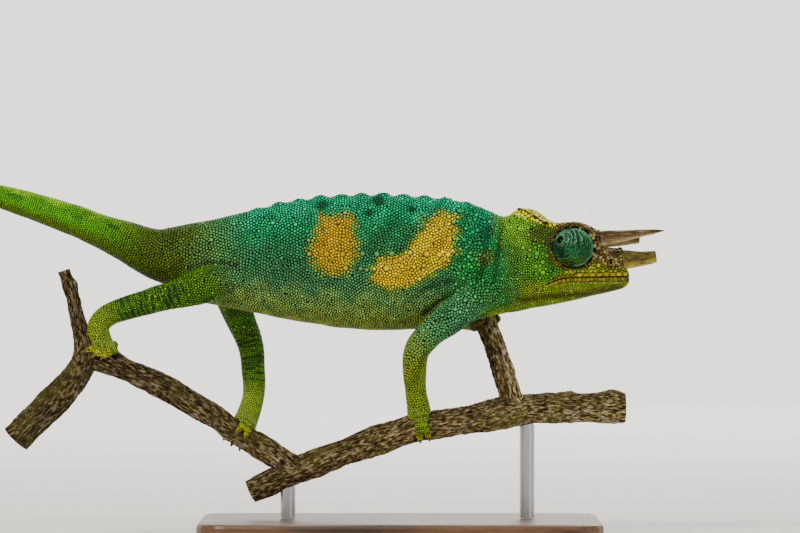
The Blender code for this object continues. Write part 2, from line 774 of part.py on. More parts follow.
def make_tail():
    table = route(TAIL)
    for i, start in enumerate(TAIL_CUTS[:-1]):
        end = TAIL_CUTS[i + 1] or table[-1][0] + GAP / 2
        tail = tube(
            f"tail_{i + 1}", table, start + GAP / 2, end - GAP / 2, TAIL_STEP, TAIL_ROUND,
            material="green_scales",
        )
        if i == 0:
            clear_of(tail, [bpy.data.objects["pelvis"]])


def make_perch():
    for seed, (name, knots) in enumerate(PERCH.items()):
        table = route(knots)

        def gnarled(far, turn, seed=seed):
            waves = math.sin(far * 0.31 + seed) + math.sin(far * 0.17 + 2 * turn + 3 * seed)
            return 1.0 + PERCH_WOBBLE * waves

        tube(
            name, table, 0.0, table[-1][0], PERCH_STEP, PERCH_ROUND, material="bark", shape=gnarled
        )
    for name, others in PERCH_MEETS.items():
        clear_of(bpy.data.objects[name], [bpy.data.objects[other] for other in others])


def nearest_on(table, point):
    """The distance along a route where it passes nearest to a point."""
    steps = 400
    places = [table[-1][0] * i / steps for i in range(steps + 1)]
    return min(places, key=lambda far: (Vector(between(table, far)[:3]) - point).length)


def toe(centre, along, rise, side, radius, offset, reach, drift):
    """One toe laid round a branch, and its claw."""
    knots = []
    for i in range(TOE_STEPS + 1):
        share = i / TOE_STEPS
        turn = math.radians(TOE_START + (reach - TOE_START) * share)
        thick = TOE_ROOT + (TOE_END - TOE_ROOT) * share
        out = rise * math.cos(turn) + side * math.sin(turn)
        spread = offset * (1 + TOE_SPLAY * share**2) + drift * (share - 0.3)
        knots.append((*(centre + out * (radius + 0.7 * thick) + along * spread), thick))
    end, before = Vector(knots[-1][:3]), Vector(knots[-2][:3])
    ahead = (end - before).normalized()
    knots.append((*(end + ahead * TOE_END * 0.75), TOE_END * 0.55))
    table = route(knots)
    pad = tube("toe", table, 0.0, table[-1][0], table[-1][0] / (TOE_STEPS + 1), TOE_ROUND, along)
    turn = math.radians(reach)
    inward = -(rise * math.cos(turn) + side * math.sin(turn))
    start = end + ahead * TOE_END * 0.3 - inward * TOE_END * 0.25
    claw = route([
        (*start, CLAW_RADIUS * 1.25),
        (*(start + ahead * CLAW_LENGTH * 0.55), CLAW_RADIUS),
        (*(start + ahead * CLAW_LENGTH + inward * CLAW_LENGTH * 0.28), CLAW_RADIUS * 0.4),
    ])
    return [pad, tube("claw", claw, 0.0, claw[-1][0], claw[-1][0] / 2, 5, along)]


def make_limb(limb):
    """Two lengths of limb and a foot whose two bundles of toes close round the perch."""
    table = route(limb["knots"])
    splits = [
        table[int(i)][0] + (i % 1) * (table[int(i) + 1][0] - table[int(i)][0]) for i in limb["splits"]
    ]
    perch = route(PERCH[limb["perch"]])
    sole = Vector(limb["knots"][-1][:3])
    held = nearest_on(perch, sole)
    centre, radius = Vector(between(perch, held)[:3]), between(perch, held)[3]
    along = heading(perch, held)
    if along.x < 0:
        along = -along
    wrist = Vector(between(table, splits[1])[:3])
    rise = wrist - centre
    rise = (rise - along * rise.dot(along)).normalized()
    ends = (0.0, *splits, table[-1][0])
    nodes = []
    for i, name in enumerate(limb["parts"]):
        start = ends[i] + (GAP / 2 if i else 0)
        end = ends[i + 1] - (GAP / 2 if i < 2 else 0)
        nodes.append(
            tube(name, table, start, end, LIMB_STEP, LIMB_ROUND, along, material="green_scales")
        )
    clear_of(nodes[1], [nodes[0]], BEND_GAP)
    pieces = []
    for hand_side, count in limb["toes"].items():
        side = along.cross(rise)
        if side.y * hand_side < 0:
            side = -side
        for k in range(count):
            offset = (k - (count - 1) / 2) * TOE_SPACING
            reach = limb["reach"][hand_side] - 6 * abs(k - (count - 1) / 2)
            pieces += toe(centre, along, rise, side, radius, offset, reach, limb["drift"])
    fuse(nodes[2], pieces)
    keep_largest(nodes[2])
    clear_of(nodes[2], [bpy.data.objects[name] for name in PERCH])
    trunk = [bpy.data.objects[name] for name in ("pelvis", "torso", "neck")]
    clear_of(nodes[0], trunk)
    clear_of(nodes[2], trunk)
    return nodes


def make_stand():
    mesh = bpy.data.meshes.new("stand_base")
    shape = bmesh.new()
    bmesh.ops.create_cube(shape, size=1.0)
    bmesh.ops.scale(shape, vec=BASE_SIZE * MM, verts=shape.verts)
    bmesh.ops.translate(shape, vec=UP * BASE_SIZE.z / 2 * MM, verts=shape.verts)
    upright = [e for e in shape.edges if abs((e.verts[0].co - e.verts[1].co).z) > BASE_SIZE.z / 2 * MM]
    bmesh.ops.bevel(
        shape, geom=upright, offset=BASE_CORNER * MM, segments=5, profile=0.5, affect="EDGES"
    )
    rim = [e for e in shape.edges if min(v.co.z for v in e.verts) > (BASE_SIZE.z - 0.1) * MM]
    bmesh.ops.bevel(
        shape, geom=rim, offset=BASE_CHAMFER * MM, segments=2, profile=0.5, affect="EDGES"
    )
    shape.to_mesh(mesh)
    shape.free()
    new_object("stand_base", mesh, "walnut")
    for name, (x, y, perch) in RODS.items():
        low, high = Vector((x, y, BASE_SIZE.z + GAP)), Vector((x, y, ROD_REACH))
        reach = between(route(PERCH[perch]), nearest_on(route(PERCH[perch]), high))[2]
        high.z = min(high.z, reach)
        rod = cone_between(low, high, ROD_RADIUS, ROD_RADIUS, ROD_ROUND)
        rod.name = name
        rod.data.materials.append(finish("steel"))
        clear_of(rod, [bpy.data.objects[perch], bpy.data.objects["perch_rear"]])


for old in list(bpy.data.objects):
    bpy.data.objects.remove(old)
MODEL = bpy.data.collections.new("three_horned_chameleon")
bpy.context.scene.collection.children.link(MODEL)

def place_nodes():
    """Gives each node its location at the middle of its box, under the empty of what it belongs to."""
    holders = {}
    for name in ("chameleon", "perch_and_stand"):
        holders[name] = bpy.data.objects.new(name, None)
        MODEL.objects.link(holders[name])
    for thing in [thing for thing in MODEL.objects if thing.type == "MESH"]:
        low, high = bounds(thing.data)
        middle = (Vector(low) + Vector(high)) / 2
        thing.data.transform(Matrix.Translation(-middle))
        thing.location = middle
        apart_from_animal = thing.name.startswith(("perch_", "stand_"))
        thing.parent = holders["perch_and_stand" if apart_from_animal else "chameleon"]


make_trunk()
make_head()
make_eye(RIGHT)
make_eye(LEFT)
make_horns()
make_tail()
make_perch()
for plan in LIMBS.values():
    make_limb(plan)
make_stand()
place_nodes()
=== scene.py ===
# A life-size three-horned chameleon on a cut branch and a display stand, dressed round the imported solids.
# Lengths in the tables are millimetres in the model's own frame: +X snout, +Y the animal's left, +Z up.
import math
from contextlib import contextmanager
from itertools import product

import bmesh
import bpy
import numpy as np
from mathutils import Matrix, Vector, noise
from mathutils.bvhtree import BVHTree
from mathutils.kdtree import KDTree


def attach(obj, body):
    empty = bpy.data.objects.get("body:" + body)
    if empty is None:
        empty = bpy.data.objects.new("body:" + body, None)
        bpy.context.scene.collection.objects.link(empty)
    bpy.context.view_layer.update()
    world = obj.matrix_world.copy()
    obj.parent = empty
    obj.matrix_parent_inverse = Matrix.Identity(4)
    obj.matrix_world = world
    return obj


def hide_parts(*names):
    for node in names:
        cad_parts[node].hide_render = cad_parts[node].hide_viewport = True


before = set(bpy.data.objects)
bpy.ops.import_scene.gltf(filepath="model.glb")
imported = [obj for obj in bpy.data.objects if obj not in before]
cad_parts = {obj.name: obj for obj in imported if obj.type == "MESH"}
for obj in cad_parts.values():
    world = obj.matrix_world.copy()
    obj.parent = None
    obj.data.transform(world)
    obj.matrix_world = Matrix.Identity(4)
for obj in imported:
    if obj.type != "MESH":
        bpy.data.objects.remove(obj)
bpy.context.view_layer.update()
print("frame loaded:", len(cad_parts), "nodes")

mm = 0.001
fullTurn = 2 * math.pi
across, upward = Vector((0, 1, 0)), Vector((0, 0, 1))
right, left = -1, 1
sideNames = {right: "right", left: "left"}
rng = np.random.default_rng(7)


def toLinear(hexColour):
    parts = [int(hexColour[i:i + 2], 16) / 255 for i in (1, 3, 5)]
    return np.array([p / 12.92 if p <= 0.04045 else ((p + 0.055) / 1.055) ** 2.4 for p in parts])


def feed(tree, node, inputs):
    # Inputs come by name, or in the sockets' own order; each is a value, a hex colour, a node or a socket
    for name, value in inputs.items() if isinstance(inputs, dict) else enumerate(inputs):
        if isinstance(value, bpy.types.Node):
            value = next(socket for socket in value.outputs if socket.enabled)
        if isinstance(value, bpy.types.NodeSocket):
            tree.links.new(value, node.inputs[name])
        else:
            hexed = isinstance(value, str) and value.startswith("#")
            node.inputs[name].default_value = (*toLinear(value), 1) if hexed else value


def addNode(tree, kind, inputs=(), stops=(), **settings):
    # A kind without "Node" in it is a shader's; stops are a colour ramp's places and colours
    node = tree.nodes.new(kind if "Node" in kind else "ShaderNode" + kind)
    for name, value in settings.items():
        setattr(node, name, value)
    for i, (place, colour) in enumerate(stops):
        stop = node.color_ramp.elements[i] if i < 2 else node.color_ramp.elements.new(place)
        stop.position, stop.color = place, (*toLinear(colour), 1)
    feed(tree, node, inputs)
    return node


def startMaterial(name):
    material = bpy.data.materials.new(name)
    material.use_nodes = True
    tree = material.node_tree
    return material, tree, tree.nodes["Principled BSDF"]


def between(table, key):
    # The row of a table at a key, on smooth curves through its rows, without the key itself
    last = len(table) - 1
    i = max(0, min(last - 1, sum(row[0] <= key for row in table) - 1))
    low, high, before, after = table[i], table[i + 1], table[max(i - 1, 0)], table[min(i + 2, last)]
    span = high[0] - low[0]
    t = (key - low[0]) / span
    row = []
    for n in range(1, len(low)):
        leave = (high[n] - before[n]) / (high[0] - before[0]) * span
        arrive = (after[n] - low[n]) / (after[0] - low[0]) * span
        row.append((2 * t**3 - 3 * t**2 + 1) * low[n] + (t**3 - 2 * t**2 + t) * leave
                   + (3 * t**2 - 2 * t**3) * high[n] + (t**3 - t**2) * arrive)
    return row


def route(knots):
    # The knots keyed by the distance along them
    table = [(0.0, *knots[0])]
    for before, knot in zip(knots, knots[1:]):
        table.append((table[-1][0] + (Vector(knot[:3]) - Vector(before[:3])).length, *knot))
    return table


def heading(table, far):
    end, reach = table[-1][0], 0.2
    far = max(0.0, min(far, end))
    places = (min(far + reach, end), max(far - reach, 0.0))
    ahead, behind = (Vector(between(table, place)[:3]) for place in places)
    return (ahead - behind).normalized()


def smoothStep(values, low, high):
    t = np.clip((values - low) / (high - low), 0, 1)
    return t * t * (3 - 2 * t)


def fade(values, low, high):
    return 1 - smoothStep(values, low, high)


def circle(count, shift=0.0):
    # Cosine and sine of evenly spaced turns
    turns = [fullTurn * (k + shift) / count for k in range(count)]
    return [(math.cos(turn), math.sin(turn)) for turn in turns]


def wavy(points, size, seed):
    # A soft random field from -1 to 1 with blobs of about that size, the same on every run
    draw = np.random.default_rng(seed)
    total = 0
    for _ in range(7):
        direction = draw.normal(size=3)
        direction *= draw.uniform(0.7, 1.5) * fullTurn / size / np.linalg.norm(direction) / 1.6
        total = total + np.sin(points @ direction + draw.uniform(0, fullTurn))
    return total / 3.2


# Studio: the photograph's level view from the animal's right, 0.33 mm to a pixel of 800 x 533

studio = {
    "distance": 1500.0, "aim": (0.0, 0.0, 90.3), "pixel": 0.33, "imageWidth": 800, "sensor": 36.0,
    "floor": "#e9e7e2", "floorRadius": 4.6, "floorCurve": 1.4, "wallHeight": 3.2, "floorRound": 96,
    "world": ("#f4f6f8", 0.24),
    "lights": (  # name, place, what it is aimed at, size, watts, colour; in metres
        ("key", (-0.55, -1.0, 1.15), (0, 0, 0.09), 0.45, 21.0, "#fff6e8"),
        ("fill", (1.1, -0.9, 0.45), (0, 0, 0.09), 0.9, 4.0, "#eef4ff"),
        ("rim", (0.3, 1.1, 1.0), (0, 0, 0.09), 0.7, 14.0, "#fffdf6"),
        ("wall_left", (-1.6, 1.4, 2.6), (-1.2, 4.4, 0.9), 1.2, 150.0, "#ffffff"),
        ("wall_right", (1.6, 1.4, 2.6), (1.2, 4.4, 0.9), 1.2, 150.0, "#ffffff"),
    ),
}


def addObject(name, data):
    thing = bpy.data.objects.new(name, data)
    bpy.context.scene.collection.objects.link(thing)
    return thing


def aimed(thing, place, target):
    thing.location = place
    thing.rotation_euler = (Vector(target) - thing.location).to_track_quat("-Z", "Y").to_euler()
    return thing


def makeStudio():
    scene = bpy.context.scene
    lens = bpy.data.cameras.new("camera")
    lens.sensor_width = studio["sensor"]
    lens.lens = studio["sensor"] * studio["distance"] / (studio["pixel"] * studio["imageWidth"])
    lens.clip_start = 0.05
    aim = Vector(studio["aim"]) * mm
    scene.camera = aimed(addObject("camera", lens), aim + Vector((0, -studio["distance"], 0)) * mm, aim)
    for name, place, target, size, watts, colour in studio["lights"]:
        lamp = bpy.data.lights.new(name, "AREA")
        lamp.shape, lamp.size, lamp.energy, lamp.color = "DISK", size, watts, toLinear(colour).tolist()
        aimed(addObject(name, lamp), place, target)
    scene.world = bpy.data.worlds.new("studio")
    scene.world.use_nodes = True
    tree = scene.world.node_tree
    feed(tree, tree.nodes["Background"], studio["world"])


def ringFaces(ringCount, count, looped=False, capped=True):
    faces = []
    for i in range(ringCount if looped else ringCount - 1):
        a, b = i * count, (i + 1) % ringCount * count
        for k in range(count):
            n = (k + 1) % count
            faces.append((a + k, a + n, b + n, b + k))
    if capped and not looped:
        last = (ringCount - 1) * count
        faces += [tuple(reversed(range(count))), tuple(range(last, last + count))]
    return faces


def fan(first, count):
    # Triangles from a ring to the point that comes after it
    return [(first + k, first + (k + 1) % count, first + count) for k in range(count)]


def makeFloor():
    # A round pale floor that curves up into a wall all round, so that no horizon crosses the animal
    radius, curve, count = studio["floorRadius"], studio["floorCurve"], studio["floorRound"]
    profile = [(radius, studio["wallHeight"])]
    for i in range(12, -1, -1):
        turn = math.pi / 2 * i / 12
        profile.append((radius - curve + curve * math.sin(turn), curve * (1 - math.cos(turn))))
    points = [(reach * c, reach * s, rise) for reach, rise in profile for c, s in circle(count)]
    faces = ringFaces(len(profile), count, capped=False) + fan(len(points) - count, count)
    mesh = bpy.data.meshes.new("floor")
    mesh.from_pydata([*points, (0, 0, 0)], [], faces)
    mesh.shade_smooth()
    material, tree, shader = startMaterial("matt_paper_sweep")
    feed(tree, shader, {"Base Color": studio["floor"], "Roughness": 0.9})
    mesh.materials.append(material)
    addObject("floor", mesh)


makeStudio()
makeFloor()
print("studio ready")


# Pieces: each finished mesh sits at the origin, rides on the one body and stands for its solids

def newPiece(name, mesh, material, slotName, *nodes):
    piece = addObject(name, mesh)
    mesh.materials.clear()
    mesh.materials.append(material)
    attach(piece, "root")
    if nodes:
        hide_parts(*nodes)
    print(name, sum(len(face.vertices) - 2 for face in mesh.polygons), "triangles")


def meshOf(name, points, faces):
    mesh = bpy.data.meshes.new(name)
    mesh.from_pydata((np.asarray(points) * mm).tolist(), [], faces)
    return mesh


attributeKinds = {1: ("FLOAT", "value"), 3: ("FLOAT_VECTOR", "vector"), 4: ("FLOAT_COLOR", "color")}


def setAttribute(mesh, name, values):
    values = np.asarray(values)
    kind, field = attributeKinds[values.shape[1] if values.ndim > 1 else 1]
    whole = values.dtype.kind == "i"
    attribute = mesh.attributes.new(name, "INT" if whole else kind, "POINT")
    attribute.data.foreach_set(field, np.ascontiguousarray(values, np.int32 if whole else np.float32).ravel())


def setTint(mesh, tints):
    # The fourth value lifts the painted shade in the gaps between the scales: most where it is golden
    golden = smoothStep(tints[:, 0] - tints[:, 1], 0.04, 0.16)
    setAttribute(mesh, "tint", np.column_stack([tints, golden]))


@contextmanager
def reshaping(mesh):
    shape = bmesh.new()
    shape.from_mesh(mesh)
    yield shape
    shape.to_mesh(mesh)
    shape.free()


def faceOut(mesh):
    with reshaping(mesh) as shape:
        bmesh.ops.recalc_face_normals(shape, faces=shape.faces)


def frameAlong(table, fars, acrossDirection):
    # Centre, forward, side and rise at each distance along a route
    rows = []
    for far in fars:
        ahead = heading(table, far)
        side = (acrossDirection - ahead * acrossDirection.dot(ahead)).normalized()
        rows.append((between(table, far), ahead, side, side.cross(ahead)))
    return rows


def evenly(table, step, least=2):
    steps = max(least, math.ceil(table[-1][0] / step))
    return [table[-1][0] * i / steps for i in range(steps + 1)]


def tubeRings(knots, step, count, acrossDirection=across, inset=0.0):
    # Rings of a tube along knots that hold a centre, a half height and, unless it is round, a half width
    table = route(knots)
    fars, rings = evenly(table, step), []
    for row, _ahead, side, rise in frameAlong(table, fars, acrossDirection):
        high, wide = (max(size - inset, size * 0.5) for size in (row[3], row[-1]))
        rings.append([Vector(row[:3]) + (rise * high * c + side * wide * s) for c, s in circle(count)])
    return np.array(rings), np.array(fars)


# Flesh: the same named sizes as the solids, from the tail's root to the snout's tip

body = {
    "rows": (  # x, top, underside, half width, share of the height where widest, squareness above, below
        (-77.6, 103.3, 84.2, 7.0, 0.50, 2.0, 2.0), (-69.3, 104.6, 79.6, 8.0, 0.48, 1.9, 2.1),
        (-61.0, 106.2, 77.4, 8.8, 0.46, 1.8, 2.2), (-49.5, 108.9, 75.2, 9.7, 0.43, 1.7, 2.2),
        (-33.0, 112.4, 71.9, 11.0, 0.40, 1.6, 2.2), (-11.0, 114.0, 69.2, 12.0, 0.40, 1.6, 2.2),
        (10.0, 113.2, 69.8, 11.2, 0.41, 1.6, 2.2), (18.0, 112.2, 71.0, 10.2, 0.42, 1.6, 2.2),
        (24.8, 110.8, 72.3, 9.2, 0.43, 1.6, 2.1), (29.7, 108.8, 73.6, 8.5, 0.45, 1.7, 2.1),
        (34.6, 106.9, 74.7, 8.2, 0.48, 1.8, 2.0), (37.0, 108.2, 75.0, 8.4, 0.48, 1.6, 2.0),
        (39.3, 109.8, 75.3, 8.8, 0.48, 1.5, 2.0), (42.9, 109.6, 76.2, 9.3, 0.48, 1.5, 2.0),
        (46.5, 108.0, 76.8, 9.6, 0.48, 1.7, 2.0), (50.0, 105.3, 77.4, 9.5, 0.48, 2.2, 2.0),
        (54.8, 104.6, 78.4, 9.0, 0.48, 3.8, 2.0), (58.1, 104.5, 79.1, 8.5, 0.47, 4.6, 2.0),
        (61.7, 103.3, 80.0, 7.9, 0.45, 4.6, 2.0), (64.7, 100.7, 80.7, 7.3, 0.43, 3.6, 2.0),
        (67.5, 97.6, 81.3, 6.6, 0.42, 2.8, 2.0), (70.0, 95.6, 81.9, 5.7, 0.42, 2.2, 2.0),
        (72.6, 93.2, 82.6, 4.6, 0.42, 2.2, 2.0), (74.5, 90.4, 83.4, 3.3, 0.42, 2.1, 2.0),
        (75.7, 87.9, 84.9, 1.2, 0.45, 2.0, 2.0),
    ),
    "span": (-77.4, 75.55), "step": 0.8, "round": 96, "inset": 0.3, "voxel": 0.65,
    "knobSpan": (-47.0, 22.0), "knobPitch": 6.9, "knobSize": (6.0, 3.8, 4.0), "knobSunk": 1.1,
}
eye = {
    "centre": (56.8, 7.3, 96.5), "size": (6.85, 5.45, 6.55),
    "gaze": {right: (-0.60, -0.72, 0.36), left: (0.25, 0.95, 0.10)},
    "rimRadius": 7.25, "rimThick": 0.95,
}
head = {
    "crest": (  # from the horn's root over the eye to the casque's peak: x, z, radius
        (66.0, 98.6, 1.5), (62.6, 102.3, 1.3), (57.5, 104.0, 1.25), (52.6, 103.6, 1.2), (48.4, 104.0, 1.15),
        (44.6, 105.9, 1.1), (41.2, 107.9, 1.05), (38.8, 109.1, 1.0),
    ),
    "crestProud": 0.3,
    "mouth": ((48.0, 84.3), (52.4, 86.1), (56.4, 86.7), (78.0, 87.0)),
    "lipRadius": 0.75, "lipOffset": 1.15, "lipEnd": 73.6, "nostril": (69.3, 91.4, 0.6),
    "pedestals": (  # scaly cones that the horns grow from: start, end, radius at each
        ((62.0, 0.0, 92.0), (73.6, 0.0, 92.6), 4.6, 3.9), ((60.0, 4.0, 98.6), (66.3, 4.6, 99.5), 3.8, 3.1),
        ((60.0, -4.0, 98.6), (66.3, -4.6, 99.5), 3.8, 3.1),
    ),
}
tail = {
    "knots": (  # centre, half height, half width
        (-76.0, 0, 93.6, 9.6, 7.0), (-81.5, 0, 94.8, 8.4, 6.4), (-89.1, 0, 98.0, 7.0, 5.7),
        (-96.7, 0, 101.1, 6.0, 5.1), (-105.6, 0.2, 104.8, 5.4, 4.7), (-114.3, 0.5, 107.9, 5.0, 4.4),
        (-123.8, 1.0, 111.0, 4.5, 4.0), (-132.0, 1.6, 113.4, 4.1, 3.7), (-141.0, 2.4, 115.1, 3.7, 3.4),
        (-150.0, 3.4, 115.0, 3.3, 3.1), (-158.0, 4.5, 111.8, 3.0, 2.8), (-163.3, 5.6, 105.4, 2.65, 2.5),
        (-164.4, 6.6, 97.8, 2.35, 2.2), (-161.2, 7.5, 91.2, 2.05, 1.95), (-154.8, 8.2, 88.2, 1.8, 1.7),
        (-148.4, 8.7, 90.0, 1.5, 1.45), (-145.3, 9.0, 94.9, 1.25, 1.2), (-147.2, 9.2, 99.6, 1.0, 0.95),
        (-151.3, 9.3, 100.6, 0.7, 0.65), (-153.6, 9.3, 98.8, 0.4, 0.4),
    ),
    "step": 0.8, "round": 48,
}
perch = {
    "perch_front": (
        (-49.5, 4.0, 15.9, 4.0), (-41.0, 3.2, 19.8, 4.4), (-33.0, 2.0, 23.4, 4.8), (-16.5, -2.0, 29.7, 4.8),
        (0.0, -4.7, 35.6, 4.9), (6.6, -5.0, 37.4, 4.9), (14.5, -4.2, 38.6, 5.0), (27.4, -1.2, 40.6, 5.0),
        (38.0, 1.4, 42.7, 5.6), (46.2, 2.6, 43.4, 5.4), (59.4, 3.4, 43.6, 5.1), (74.5, 4.0, 43.3, 4.9),
    ),
    "perch_rear": (
        (-101.0, -5.0, 60.9, 4.6), (-95.0, -5.0, 58.7, 4.6), (-89.1, -4.0, 55.8, 4.2),
        (-78.2, -2.5, 50.8, 4.2), (-70.0, -1.0, 45.9, 4.3), (-61.0, 0.5, 40.6, 4.1),
        (-54.5, 1.5, 36.0, 4.1), (-46.2, 2.4, 30.7, 4.2), (-34.0, 2.4, 23.4, 4.3),
    ),
    "perch_fork": (
        (-126.5, -3.0, 33.4, 5.0), (-120.5, -3.5, 39.6, 5.2), (-112.2, -4.0, 47.9, 5.1),
        (-106.2, -4.8, 54.8, 5.1), (-103.4, -5.6, 60.6, 4.3), (-104.0, -6.6, 66.6, 3.3),
        (-106.0, -7.0, 73.5, 2.6), (-107.9, -7.0, 81.5, 2.5), (-110.4, -7.0, 89.0, 2.4),
    ),
    "perch_front_twig": (
        (39.0, 1.4, 41.5, 5.2), (36.6, 2.2, 47.5, 4.3), (34.6, 4.0, 54.0, 4.0), (31.6, 6.8, 63.4, 3.8),
        (28.8, 10.0, 71.0, 3.6), (27.5, 12.0, 77.0, 3.4),
    ),
}
limbs = {  # knots: centre and radius; held: the length of perch; toes to each side, reach in degrees
    "fore_right": {
        "parts": ("upper_arm", "forearm", "hand"),
        "knots": (
            (28.5, -3.0, 83.0, 6.0), (22.0, -9.2, 78.0, 5.5), (15.8, -12.6, 72.8, 5.2),
            (10.0, -14.0, 68.3, 4.7), (5.6, -13.8, 63.0, 4.4), (4.8, -12.0, 56.0, 4.1),
            (5.2, -9.3, 49.0, 3.6), (6.2, -6.4, 43.6, 4.0), (6.7, -5.2, 39.0, 4.4),
        ),
        "wrist": 6, "held": "perch_front",
        "toes": {right: 2, left: 3}, "reach": {right: 112, left: 112}, "drift": 0.0,
    },
    "fore_left": {
        "parts": ("upper_arm", "forearm", "hand"),
        "knots": (
            (28.5, 2.5, 85.0, 6.0), (22.0, 10.2, 85.6, 5.4), (14.6, 17.4, 84.0, 4.9),
            (9.6, 21.6, 80.4, 4.4), (11.4, 23.8, 76.0, 4.2), (17.0, 23.2, 73.6, 4.0),
            (22.8, 20.6, 72.4, 3.6), (26.6, 16.6, 72.5, 3.8), (28.2, 12.2, 73.2, 4.2),
        ),
        "wrist": 6, "held": "perch_front_twig",
        "toes": {right: 3, left: 2}, "reach": {right: 128, left: 128}, "drift": 0.0,
    },
    "hind_right": {
        "parts": ("thigh", "shank", "foot"),
        "knots": (
            (-55.5, -2.0, 87.5, 6.6), (-63.5, -8.3, 84.2, 6.0), (-72.0, -11.2, 81.6, 5.1),
            (-80.0, -11.6, 79.5, 4.5), (-88.6, -10.6, 77.0, 4.1), (-95.8, -9.0, 74.3, 3.9),
            (-99.2, -7.6, 70.4, 3.8), (-98.6, -6.2, 66.0, 4.1), (-97.2, -5.2, 61.4, 4.5),
        ),
        "wrist": 5.2, "held": "perch_rear",
        "toes": {right: 3, left: 2}, "reach": {right: 66, left: 104}, "drift": -3.6,
    },
    "hind_left": {
        "parts": ("thigh", "shank", "foot"),
        "knots": (
            (-57.0, 2.5, 87.5, 6.6), (-56.0, 9.4, 80.6, 5.9), (-53.0, 13.0, 72.4, 5.0),
            (-50.0, 13.8, 64.6, 4.5), (-48.8, 12.2, 56.0, 4.1), (-48.6, 9.2, 47.4, 3.8),
            (-50.2, 6.4, 41.6, 4.0), (-52.2, 3.4, 36.6, 4.4),
        ),
        "wrist": 5, "held": "perch_rear",
        "toes": {right: 2, left: 3}, "reach": {right: 112, left: 112}, "drift": 0.0,
    },
}
foot = {
    "start": 18, "root": 1.8, "end": 1.25, "spacing": 2.3, "splay": 0.3, "steps": 5, "inset": 0.38,
    "claw": 1.68, "clawRadius": 0.4232,
    "clawKnots": ((0, 0, 1.2), (0.3, 0.02, 1.1), (0.6, 0.09, 0.82), (0.85, 0.2, 0.5), (1.02, 0.3, 0.14)),
}

# The body's measures every quarter millimetre, to look them up for many points at once
bodyPlaces = np.arange(body["rows"][0][0], body["rows"][-1][0], 0.25)
bodyRows = np.array([between(body["rows"], x) for x in bodyPlaces])


def bodyAt(x):
    return [np.interp(x, bodyPlaces, bodyRows[:, n]) for n in range(6)]


def bodyRing(x):
    inset = body["inset"]
    top, low, half, share, upper, lower = between(body["rows"], x)
    top, low = top - inset, low + inset
    wide = low + (top - low) * share
    half = max(half - inset, 0.3)
    ring = []
    for c, s in circle(body["round"]):
        square, tall = (upper, top - wide) if c >= 0 else (lower, wide - low)
        y = half * math.copysign(abs(s) ** (2 / square), s)
        ring.append((x, y, wide + tall * math.copysign(abs(c) ** (2 / square), c)))
    return ring


def bodySide(x, z):
    top, low, half, share, upper, lower = bodyAt(x)
    wide = low + (top - low) * share
    above = z >= wide
    off = np.minimum(np.abs(z - wide) / np.where(above, top - wide, wide - low), 1.0)
    square = np.where(above, upper, lower)
    return half * (1 - off**square) ** (1 / square)


def mouthHeight(x):
    return np.interp(x, *zip(*head["mouth"]))


def nearestOn(table, point):
    places = [table[-1][0] * i / 400 for i in range(401)]
    return min(places, key=lambda far: (Vector(between(table, far)[:3]) - point).length)


def blend(low, high, share):
    return low + (high - low) * share


def toeRoutes(limb):
    # Each toe laid round the branch: its own route with radii, and where its claw starts and points
    table, branch = route(limb["knots"]), route(perch[limb["held"]])
    knot, part = int(limb["wrist"]), limb["wrist"] % 1
    wrist = Vector(between(table, blend(table[knot][0], table[knot + 1][0], part))[:3])
    held = nearestOn(branch, Vector(limb["knots"][-1][:3]))
    centre, radius, along = Vector(between(branch, held)[:3]), between(branch, held)[3], heading(branch, held)
    along = -along if along.x < 0 else along
    rise = wrist - centre
    rise = (rise - along * rise.dot(along)).normalized()
    toes = []
    for handSide, count in limb["toes"].items():
        side = along.cross(rise)
        side = -side if side.y * handSide < 0 else side
        for k in range(count):
            fromMiddle = k - (count - 1) / 2
            reach = limb["reach"][handSide] - 6 * abs(fromMiddle)
            knots = []
            for i in range(foot["steps"] + 1):
                share = i / foot["steps"]
                turn = math.radians(blend(foot["start"], reach, share))
                thick = blend(foot["root"], foot["end"], share)
                out = rise * math.cos(turn) + side * math.sin(turn)
                spread = fromMiddle * foot["spacing"] * (1 + foot["splay"] * share**2)
                spread += limb["drift"] * (share - 0.3)
                knots.append((*(centre + out * (radius + 0.7 * thick) + along * spread), thick))
            end = Vector(knots[-1][:3])
            ahead = (end - Vector(knots[-2][:3])).normalized()
            knots.append((*(end + ahead * foot["end"] * 0.75), foot["end"] * 0.55))
            root = end + ahead * foot["end"] * 0.3 + out * foot["end"] * 0.25
            toes.append({"knots": knots, "root": root, "ahead": ahead, "inward": -out, "along": along})
    return toes, along


# Skin: every form is lofted a coat's depth inside its solid, and all of them are merged into one surface

lofts = []


def addLoft(kind, name, rings, fars=None, looped=False):
    lofts.append({"kind": kind, "name": name, "rings": rings, "fars": fars, "looped": looped})


def addBall(name, centre, size, tilt, count=20):
    matrix = Matrix.Translation(centre) @ Matrix.Rotation(-tilt, 4, "Y") @ Matrix.Diagonal((*size, 1))
    rings = []
    for i in range(1, count // 2):
        turn = math.pi * i / (count // 2)
        wide, high = math.sin(turn), math.cos(turn)
        rings.append([matrix @ (Vector((wide * c, wide * s, high)) * 0.5) for c, s in circle(count)])
    addLoft("body", name, np.array(rings))


